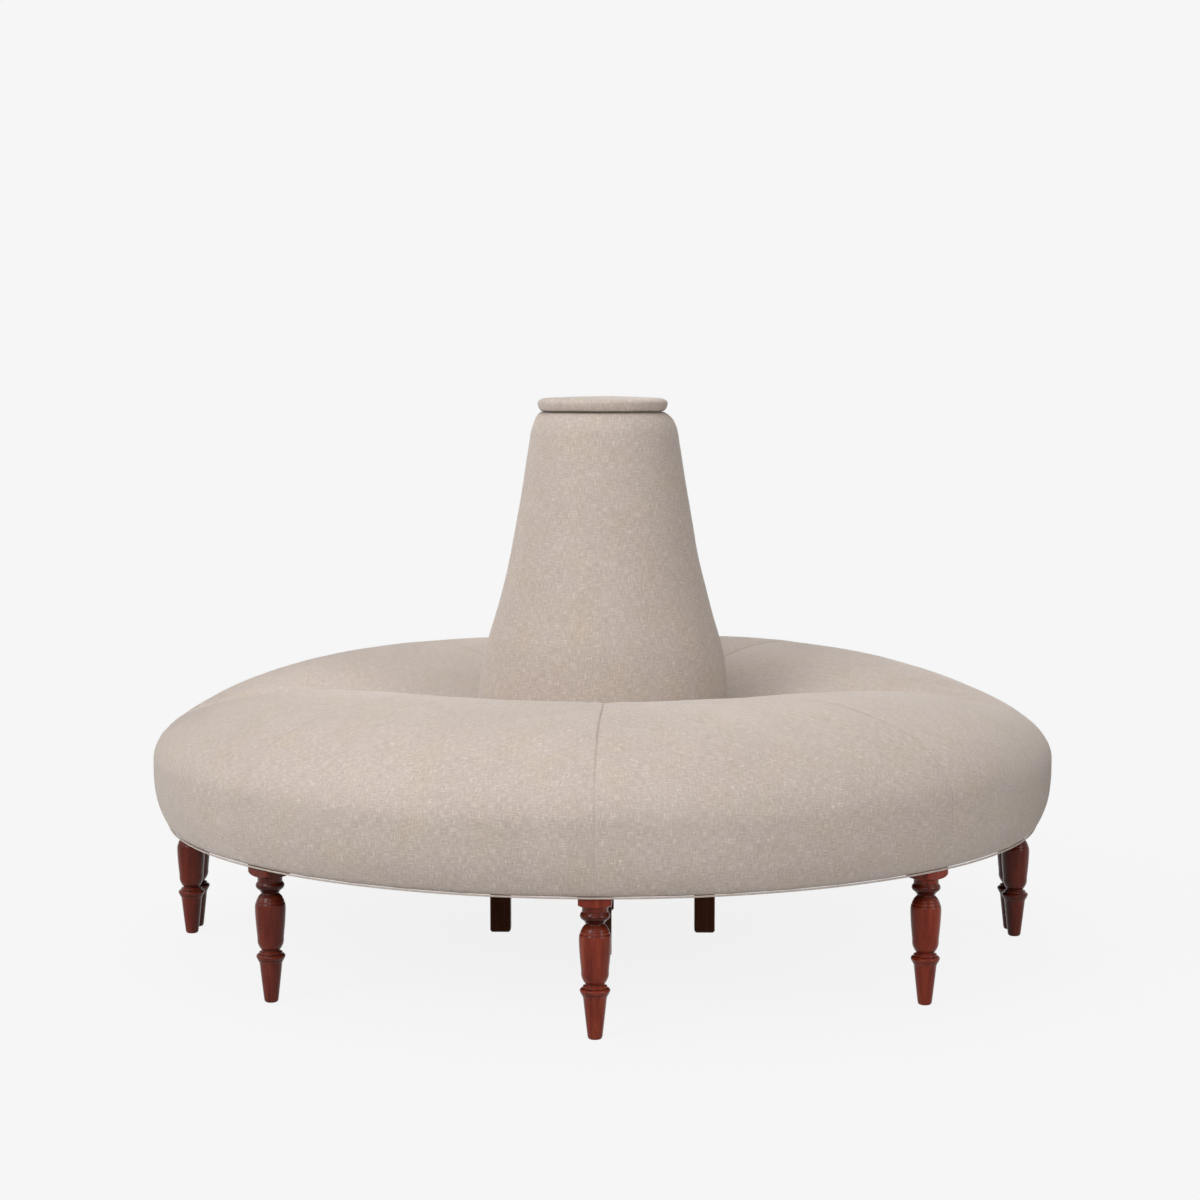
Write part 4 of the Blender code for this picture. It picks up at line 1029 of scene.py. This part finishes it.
def column_cover():
    """One piece of cloth round the column, closed by a seam at the back and gathered at the top."""
    outer = resampled(column_section(), COLUMN_STEP)
    bottom, count = outer[0][1], len(outer)
    inner = [
        (max(column_radius(height) - COLUMN_PAD_THICKNESS, COLUMN_CORE_RADIUS), height)
        for height in np.linspace(COLUMN_HEIGHT, bottom, COLUMN_INNER_POINTS)
    ]
    loop = np.concatenate([outer, inner])
    base, radius, height = laid_out(loop, np.linspace(-pi, pi, COLUMN_SIDES, endpoint=False))
    length = reach(loop)
    plan = around(radius, base, height)
    lift = np.zeros_like(base)
    lift[:, :count] = cloth_lift(*column_cloth(), COLUMN_CLOTH_CAP, base[:, 0], length[:count])
    lift -= waves(plan, COLUMN_WAVES)
    seam = (pi - np.abs(base)) * COLUMN_FLARE[1]
    lift -= SEAM_DEPTH * np.exp(-seam / SEAM_WIDTH) + SEAM_VALLEY_DEPTH * bell(seam, SEAM_VALLEY_WIDTH)
    lift *= held_at_ends(length, length[count - 1], *COLUMN_FADES)
    gather = np.abs(ripples(around(GATHER_RING, base, 0), 1.7, 25))
    gather *= smoothstep(-0.6, 0.5, ripples(plan, 5, 27))
    lift -= GATHER_DEPTH * gather * smoothstep(COLUMN_ROUNDING_START, COLUMN_HEIGHT, height)
    lean = smoothstep(*(TROUGH_HEIGHT + rise for rise in LEAN_RISES), height)
    lean = lean * smoothstep(COLUMN_HEIGHT, COLUMN_HEIGHT - LEAN_FADE, height)
    lift += COLUMN_LEAN * np.sin(base) * lean
    normals = section_normals(outer, 0, len(inner))
    points = around(radius + normals[:, 0] * lift, base, height + normals[:, 1] * lift)
    angle = np.append(base[:, 0], pi)
    girth = np.append(loop[:, 0], loop[0, 0])
    uv = stacked(angle[:, None] * girth, np.append(length, length[-1]))
    # Painted shade at the top, in the gap under the cap
    shade = COLUMN_TOP_SHADE * smoothstep(COLUMN_HEIGHT - COLUMN_TOP_SHADE_DROP, COLUMN_HEIGHT, height)
    grid = Grid(points, uv, shade, along_closed=True)
    item = add_grids("column_cover", [grid], "linen", ["column_pad"])


def cap_section():
    """Outer side of the cap, from its lower edge to the middle of its top."""
    low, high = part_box("cap_pad")
    widest = low.z + CAP_WIDEST_RISE
    peak = high.z + CAP_RISE
    lower, upper, flat = CAP_SECTION_POINTS
    under = quarter(CAP_BOTTOM_RADIUS, CAP_RADIUS, widest, low.z, np.linspace(0, RIGHT_ANGLE, lower)[:-1])
    side = quarter(CAP_FLAT_RADIUS, CAP_RADIUS, widest, peak - CAP_DOME, np.linspace(RIGHT_ANGLE, 0, upper))
    share = np.linspace(1, 0, flat)[1:]
    return np.concatenate([under, side, stacked(CAP_FLAT_RADIUS * share, peak - CAP_DOME * share ** 2)])


def cap_cover():
    """The cap's cloth, puckered where it is drawn in under the edge."""
    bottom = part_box("cap_pad")[0].z
    outer = resampled(cap_section(), CAP_STEP)
    outer[-1, 0] = 0
    roof = bottom + CAP_BOARD_THICKNESS
    inner = [(0, roof), (CAP_BOARD_REACH, roof), (CAP_BOARD_REACH, bottom)]
    loop = np.concatenate([inner, outer])
    base, radius, height = laid_out(loop, np.linspace(-pi, pi, CAP_SIDES, endpoint=False))
    pucker = np.abs(ripples(around(GATHER_RING, base, 0), 1.9, 31))
    end, start = CAP_PUCKER_RISES
    under = smoothstep(bottom + CAP_WIDEST_RISE + start, bottom + end, height)
    under *= radius > CAP_BOARD_REACH + HAIR
    lift = -CAP_PUCKER_DEPTH * pucker * under - waves(around(radius, base, height), CAP_WAVES)
    lift[:, :len(inner)] = 0
    normals = section_normals(outer, len(inner), 0)
    normals[-1] = (0, 1)
    radius = radius + normals[:, 0] * lift * (loop[:, 0] > 0)
    lift[:, -1] = lift[:, -1].mean()
    points = around(radius, base, height + normals[:, 1] * lift)
    length = np.append(reach(loop), 0)
    angle = np.append(base[:, 0], pi)[:, None]
    # Painted shade under the cap's lower edge
    end, start = CAP_SHADE_RISES
    shade = smoothstep(bottom + start, bottom + end, height)
    uv = stacked(length * np.sin(angle), length * np.cos(angle))
    grid = Grid(points, uv, shade, across_closed=False, along_closed=True)
    item = add_grids("cap_cover", [grid], "linen", ["cap_pad"], "cap")


# Inside and underneath

def base_foam(half, rotation):
    """A firm slab of foam with softened edges."""
    low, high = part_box(half + "_base_foam")
    soft = FOAM_ROUNDING
    outer = max(-low.y, high.y) - HAIR - soft
    inner = SEAT_WALL_RADIUS + BASE_FOAM_INSET + soft
    bottom, top = low.z + soft, high.z - soft
    corners = [(outer, bottom), (outer, top), (inner, top), (inner, bottom)]
    loop = np.array([
        (r + soft * cos(turn), z + soft * sin(turn))
        for number, (r, z) in enumerate(corners)
        for turn in (number - 1) * RIGHT_ANGLE + np.linspace(0, RIGHT_ANGLE, CORNER_POINTS)
    ])
    base, radius, height = laid_out(loop, np.linspace(-RIGHT_ANGLE, RIGHT_ANGLE, FOAM_STATIONS))
    azimuth = clear_of_joint(base, radius) + rotation
    inset = FOAM_UNEVENNESS * np.abs(ripples(around(radius, azimuth, height), 30, 41))
    middle = loop.mean(0)
    radius = radius - np.sign(radius - middle[0]) * inset
    height = height - np.sign(height - middle[1]) * inset
    grid = Grid(around(radius, azimuth, height), capped=True)
    item = add_grids(half + "_foam_slab", [grid], "foam", [half + "_base_foam"])


def strap(path, sideways, width, phase):
    """A woven strap along a path, over and under the straps that cross it."""
    half = width / 2
    across = np.linspace(-half, half, STRAP_ACROSS_POINTS)
    level = STRAP_THICKNESS / 2
    loop = np.concatenate([stacked(across, -level), stacked(across[::-1], level)])
    points = path[:, None, :] + sideways[:, None, :] * loop[None, :, :1]
    points[..., 2] += (STRAP_WEAVE * np.cos(phase))[:, None] + loop[None, :, 1]
    return Grid(points, stacked(np.append(loop[:, 0], -half), reach(path)[:, None]), capped=True)


def webbing(half, rotation):
    """Jute straps woven through each other: radial ones, and three rows round the ring."""
    low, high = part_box(half + "_webbing")
    level = (low.z + high.z) / 2
    opening = (OUTER_RAIL_INNER - INNER_RAIL_OUTER - STRAP_ROWS * STRAP_WIDTH) / (STRAP_ROWS + 1)
    spacing = opening + STRAP_WIDTH
    rows = [INNER_RAIL_OUTER + opening + STRAP_WIDTH / 2 + i * spacing for i in range(STRAP_ROWS)]
    inner, outer = SEAT_WALL_RADIUS + STRAP_INNER_SETBACK, max(-low.y, high.y) - STRAP_SETBACK
    radius = np.linspace(inner, outer, STRAP_POINTS)
    straps = []
    for i in range(STRAP_BAYS + 1):
        width = STRAP_WIDTH if 0 < i < STRAP_BAYS else STRAP_WIDTH / 2 - 2 * STRAP_SETBACK
        shift = {0: 1, STRAP_BAYS: -1}.get(i, 0) * (width / 2 + STRAP_SETBACK)
        azimuth = -RIGHT_ANGLE + i * pi / STRAP_BAYS + rotation
        side = around(1.0, azimuth + RIGHT_ANGLE, 0)
        path = around(radius, azimuth, level) + shift * side
        phase = pi * ((radius - rows[0]) / spacing + i)
        straps.append(strap(path, np.broadcast_to(side, path.shape), width, phase))
    for row, ring in enumerate(rows):
        end = RIGHT_ANGLE - STRAP_SETBACK / ring
        azimuth = np.linspace(-end, end, ROW_POINTS)
        phase = pi * ((azimuth + RIGHT_ANGLE) / (pi / STRAP_BAYS) + row + 1)
        azimuth += rotation
        straps.append(strap(around(ring, azimuth, level), around(1.0, azimuth, 0), STRAP_WIDTH, phase))
    item = add_grids(half + "_webbing_straps", straps, "jute", [half + "_webbing"])
    smooth_below(item.data, 50)


def dust_cover(half, rotation):
    """Black cloth stretched under the frame: the CAD's outline, cut into a grid and let sag."""
    node = half + "_dust_cover"
    low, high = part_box(node)
    outer = max(-low.y, high.y)
    middle = (low.z + high.z) / 2
    shape = bmesh.new()
    shape.from_mesh(NODES[node].data)
    for axis in (0, 1):
        normal = Vector((1 - axis, axis, 0))
        for place in np.arange(low[axis] + COVER_GRID / 2, high[axis], COVER_GRID):
            cut(shape, normal * float(place), normal)
    bmesh.ops.triangulate(shape, faces=shape.faces)
    for vertex in shape.verts:
        share = (vertex.co.xy.length - COVER_HOLE_RADIUS) / (outer - COVER_HOLE_RADIUS)
        share = min(max(share, 0), 1)
        sag = COVER_SAG * 4 * share * (1 - share)
        sag += COVER_WAVE * noise.noise(vertex.co * 40) * (1 - share)
        vertex.co.z = middle + (vertex.co.z - middle) * COVER_THICKNESS_SHARE - sag
    mesh = shape_mesh(half + "_dust_cloth", shape)
    smooth_below(mesh, 40)
    item = add_object(half + "_dust_cloth", mesh, "black_cloth", [node])


def staple(radius, azimuth, cloth):
    """One staple: a thin wire crown under the cloth, with its two ends bent up into the rail."""
    out, side, up = around(1.0, azimuth, 0), around(1.0, azimuth + RIGHT_ANGLE, 0), np.array([0, 0, 1])
    turn = np.linspace(0, 2 * pi, STAPLE_SIDES, endpoint=False)[:, None]
    half = STAPLE_WIDTH / 2
    left = list(zip((-half, -half, STAPLE_BEND - half), STAPLE_LEVELS, (side, up, up)))
    right = [(-along, level, first) for along, level, first in left[::-1]]
    rows = [
        radius * out + along * side + (cloth + level) * up
        + STAPLE_WIRE / 2 * (np.cos(turn) * first + np.sin(turn) * out)
        for along, level, first in left + right
    ]
    return Grid(np.array(rows), capped=True)


def staples(half, rotation):
    """Staples that hold the dust cover along both its edges, except at the legs."""
    low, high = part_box(half + "_dust_cover")
    cloth = (low.z + high.z) / 2 - (high.z - low.z) / 2 * COVER_THICKNESS_SHARE
    outer = max(-low.y, high.y) - STAPLE_SETBACK
    wires = []
    for radius in (STAPLE_INNER_RADIUS, outer):
        number = int(pi * radius / STAPLE_SPACING)
        for i in range(number):
            azimuth = -RIGHT_ANGLE + (i + 0.5) * pi / number
            near_leg = min(abs(azimuth - leg) for leg in (*SEAMS, -RIGHT_ANGLE, RIGHT_ANGLE))
            if radius < outer or near_leg * radius >= LEG_CLEARANCE:
                wires.append(staple(radius, azimuth + rotation + STAPLE_TURN * sin(37 * i), cloth))
    add_grids(half + "_cover_staples", wires, "steel")


# Turned legs

def bead(low, high, low_radius, high_radius, widest, steps=9):
    """A rounded ring on a turned leg, as (height, radius) points."""
    share = np.linspace(0, 1, steps)
    foot = low_radius + (high_radius - low_radius) * share
    return stacked(low + (high - low) * share, foot + (widest - foot) * np.sin(pi * share) ** BEAD_POWER)


def bow(start, end, bend, steps=8):
    """A curve between two (height, radius) points, bowed outwards or, below zero, inwards."""
    share = np.linspace(0, 1, steps)
    height, radius = (first + (last - first) * share for first, last in zip(start, end))
    return stacked(height, radius + bend * np.sin(pi * share))


def turning():
    """Profile of a turned leg: foot, bead, vase with ringed shoulders, neck, bead, collar, shoulders."""
    turn = RIGHT_ANGLE * np.linspace(*SHOULDER_TURNS)
    rise, spread = SHOULDER_RISE * (1 - np.cos(turn)), SHOULDER_REACH * np.sin(turn)
    return np.concatenate([
        [(0.0, 0.0080), (0.0006, 0.0093), (0.0018, 0.0103), (0.0036, 0.0109)],
        bow((0.006, 0.0112), (0.0606, 0.0173), 0.0001),
        bow((0.0612, 0.0175), (0.0668, 0.0202), -0.0003, 6),
        [(0.0671, 0.0198), (0.0675, 0.0200)],
        bead(0.0678, 0.0760, 0.0208, 0.0182, 0.0223),
        bead(0.0763, 0.0796, 0.0176, 0.0152, 0.0179, 5),
        [(0.0802, 0.0142), (0.0812, 0.0138), (0.0822, 0.0139), (0.0829, 0.0149)],
        bow((0.0838, 0.0158), (0.1000, 0.0202), 0.0016),
        bow((0.1060, 0.0207), (0.1440, 0.0235), 0.0004),
        bow((0.1465, 0.0235), (0.1549, 0.0223), 0.0004, 5),
        bow((0.1552, 0.0218), (0.1596, 0.0206), 0.0002, 5),
        bow((0.1599, 0.0202), (0.1680, 0.0148), 0.0009, 6),
        [(0.1690, 0.0138), (0.1698, 0.0133), (0.1705, 0.0132), (0.1712, 0.0140)],
        bow((0.1716, 0.0146), (0.1752, 0.0172), -0.0003, 5),
        bead(0.1756, 0.1880, 0.0178, 0.0186, 0.0220),
        bow((0.1886, 0.0190), (0.1950, 0.0194), -0.0003, 5),
        [(0.1958, 0.0198), (0.1964, 0.0212)],
        stacked(SHOULDER_LOW + rise, SHOULDER_RADIUS + spread),
        [(LEG_TOP, SHOULDER_RADIUS + SHOULDER_REACH)],
    ])


def leg_lower_part(azimuth):
    """The turned leg up into its block. Its rings are cut off at the sides of the square block."""
    angles = np.linspace(0, 2 * pi, LEG_SIDES, endpoint=False)
    square = BLOCK_HALF / np.maximum(np.abs(np.cos(angles)), np.abs(np.sin(angles)))
    height, radius = turning().T[:, :, None]
    radius = np.minimum(radius, np.minimum(square, BLOCK_CORNER))
    turned = angles + azimuth
    return Grid(stacked(radius * np.cos(turned), radius * np.sin(turned), height), capped=True)


def block_mesh(node, center):
    """The CAD leg's block above the cut, closed below, round the leg's own axis."""
    shape = bmesh.new()
    shape.from_mesh(NODES[node].data)
    bmesh.ops.remove_doubles(shape, verts=shape.verts, dist=CAD_SAME_POINT)
    cut(shape, (0, 0, BLOCK_CUT), (0, 0, 1), clear_inner=True)
    bmesh.ops.holes_fill(shape, edges=[edge for edge in shape.edges if edge.is_boundary], sides=0)
    bmesh.ops.recalc_face_normals(shape, faces=shape.faces)
    mesh = shape_mesh(node + "_block", shape)
    mesh.transform(Matrix.Translation(-center))
    return mesh


def turned_leg(node, azimuth, leg_tone):
    """A leg in one piece: its turned part joined to the block of the CAD's leg."""
    feet = [vertex.co for vertex in NODES[node].data.vertices if vertex.co.z < FOOT_HEIGHT]
    center = sum(feet, Vector()) / len(feet)
    center.z = 0
    name = node + "_turned"
    item = linked(name, grid_mesh(name, [leg_lower_part(azimuth)]))
    block = linked(node + "_block", block_mesh(node, center))
    union = item.modifiers.new("block", "BOOLEAN")
    union.operation = "UNION"
    union.solver = "EXACT"
    union.object = block
    mesh = bpy.data.meshes.new_from_object(item.evaluated_get(bpy.context.evaluated_depsgraph_get()))
    mesh.name = name
    bpy.data.objects.remove(item)
    bpy.data.objects.remove(block)
    heights = np.array([vertex.co.z for vertex in mesh.vertices])
    # Painted shade in the turned grooves, where the wood is also stained darker, and at the neck under the
    # seat
    groove = np.max([dark * bell(heights - place, GROOVE_SHADE_WIDTH) for place, dark in GROOVES.items()], axis=0)
    groove = np.maximum(groove, NECK_SHADE * bell(heights - NECK, NECK_REACH))
    mesh.attributes["groove"].data.foreach_set("value", groove.astype(np.float32))
    layer = mesh.attributes.new("leg_tone", "FLOAT", "POINT")
    layer.data.foreach_set("value", np.full(len(heights), leg_tone, np.float32))
    smooth_below(mesh, 48)
    mesh.materials.clear()
    item = add_object(name, mesh, "mahogany", [node])
    item.location = center


# CAD nodes that stay

def dress_cad():
    """The materials of the hard CAD nodes."""
    for name, item in NODES.items():
        found = [material for part, material in CAD_MATERIALS.items() if part in name]
        if name.startswith("column_") and name.endswith("_leg"):
            found = ["dark_wood"]
        if not found:
            continue
        material = MATERIALS[found[0]]
        if not item.data.materials:
            item.data.materials.append(material)
        for slot in item.material_slots:
            slot.material = material


# Floor and light

def make_floor():
    """A plain floor that shows the backdrop's colour, with a faint shadow round the object."""
    mesh = bpy.data.meshes.new("floor")
    corners = [(x * FLOOR_SIZE, y * FLOOR_SIZE, 0) for x, y in ((-1, -1), (1, -1), (1, 1), (-1, 1))]
    mesh.from_pydata(corners, [], [(0, 1, 2, 3)])
    m = Material("floor")
    away = m.add("VectorMath", {0: m.place()}, operation="LENGTH").outputs["Value"]
    near = m.math("SUBTRACT", 1.0, m.math("DIVIDE", away, SHADOW_REACH), clamp=True)
    shown = m.add("Emission", {"Color": BACKDROP})
    lit = m.add("BsdfDiffuse", {"Color": FLOOR_LIT})
    soft = m.add("MixShader", {0: m.times(near, SHADOW_SHARE), 1: shown, 2: lit})
    bounce = m.add("BsdfDiffuse", {"Color": FLOOR_BOUNCE})
    surface = m.add("MixShader", {0: m.backdrop_share(), 1: bounce, 2: soft})
    m.tree.nodes.remove(m.shader)
    m.put(m.tree.nodes["Material Output"].inputs["Surface"], surface)
    mesh.materials.append(m.material)
    item = linked("floor", mesh)


def make_world():
    world = bpy.data.worlds.new("world")
    bpy.context.scene.world = world
    world.use_nodes = True
    n = Nodes(world.node_tree)
    light = n.tree.nodes["Background"]
    n.put(light.inputs["Color"], (1, 1, 1, 1))
    n.put(light.inputs["Strength"], WORLD_STRENGTH)
    shown = n.add("Background", {"Color": BACKDROP})
    mix = n.add("MixShader", {0: n.backdrop_share(), 1: light, 2: shown})
    n.put(n.tree.nodes["World Output"].inputs["Surface"], mix)


def make_lamps():
    for name, (place, size, power) in LAMPS.items():
        data = bpy.data.lights.new(name, "AREA")
        data.shape = "RECTANGLE"
        data.size, data.size_y = size
        data.energy = power
        item = linked(name, data)
        item.location = place
        item.rotation_euler = (LAMP_TARGET - Vector(place)).to_track_quat("-Z", "Y").to_euler()
        item.visible_camera = False


make_camera()
dress_cad()
cloth = seat_cloth()
for half, rotation in HALVES.items():
    seat_cover(half, rotation, cloth)
    piping(half, rotation)
    base_foam(half, rotation)
    webbing(half, rotation)
    dust_cover(half, rotation)
    staples(half, rotation)
column_cover()
cap_cover()
for half in HALVES:
    for side, azimuth, leg_tone in LEGS:
        turned_leg(half + "_" + side + "_leg", azimuth, leg_tone)
make_floor()
make_world()
make_lamps()
bpy.context.scene.view_settings.view_transform = "Standard"
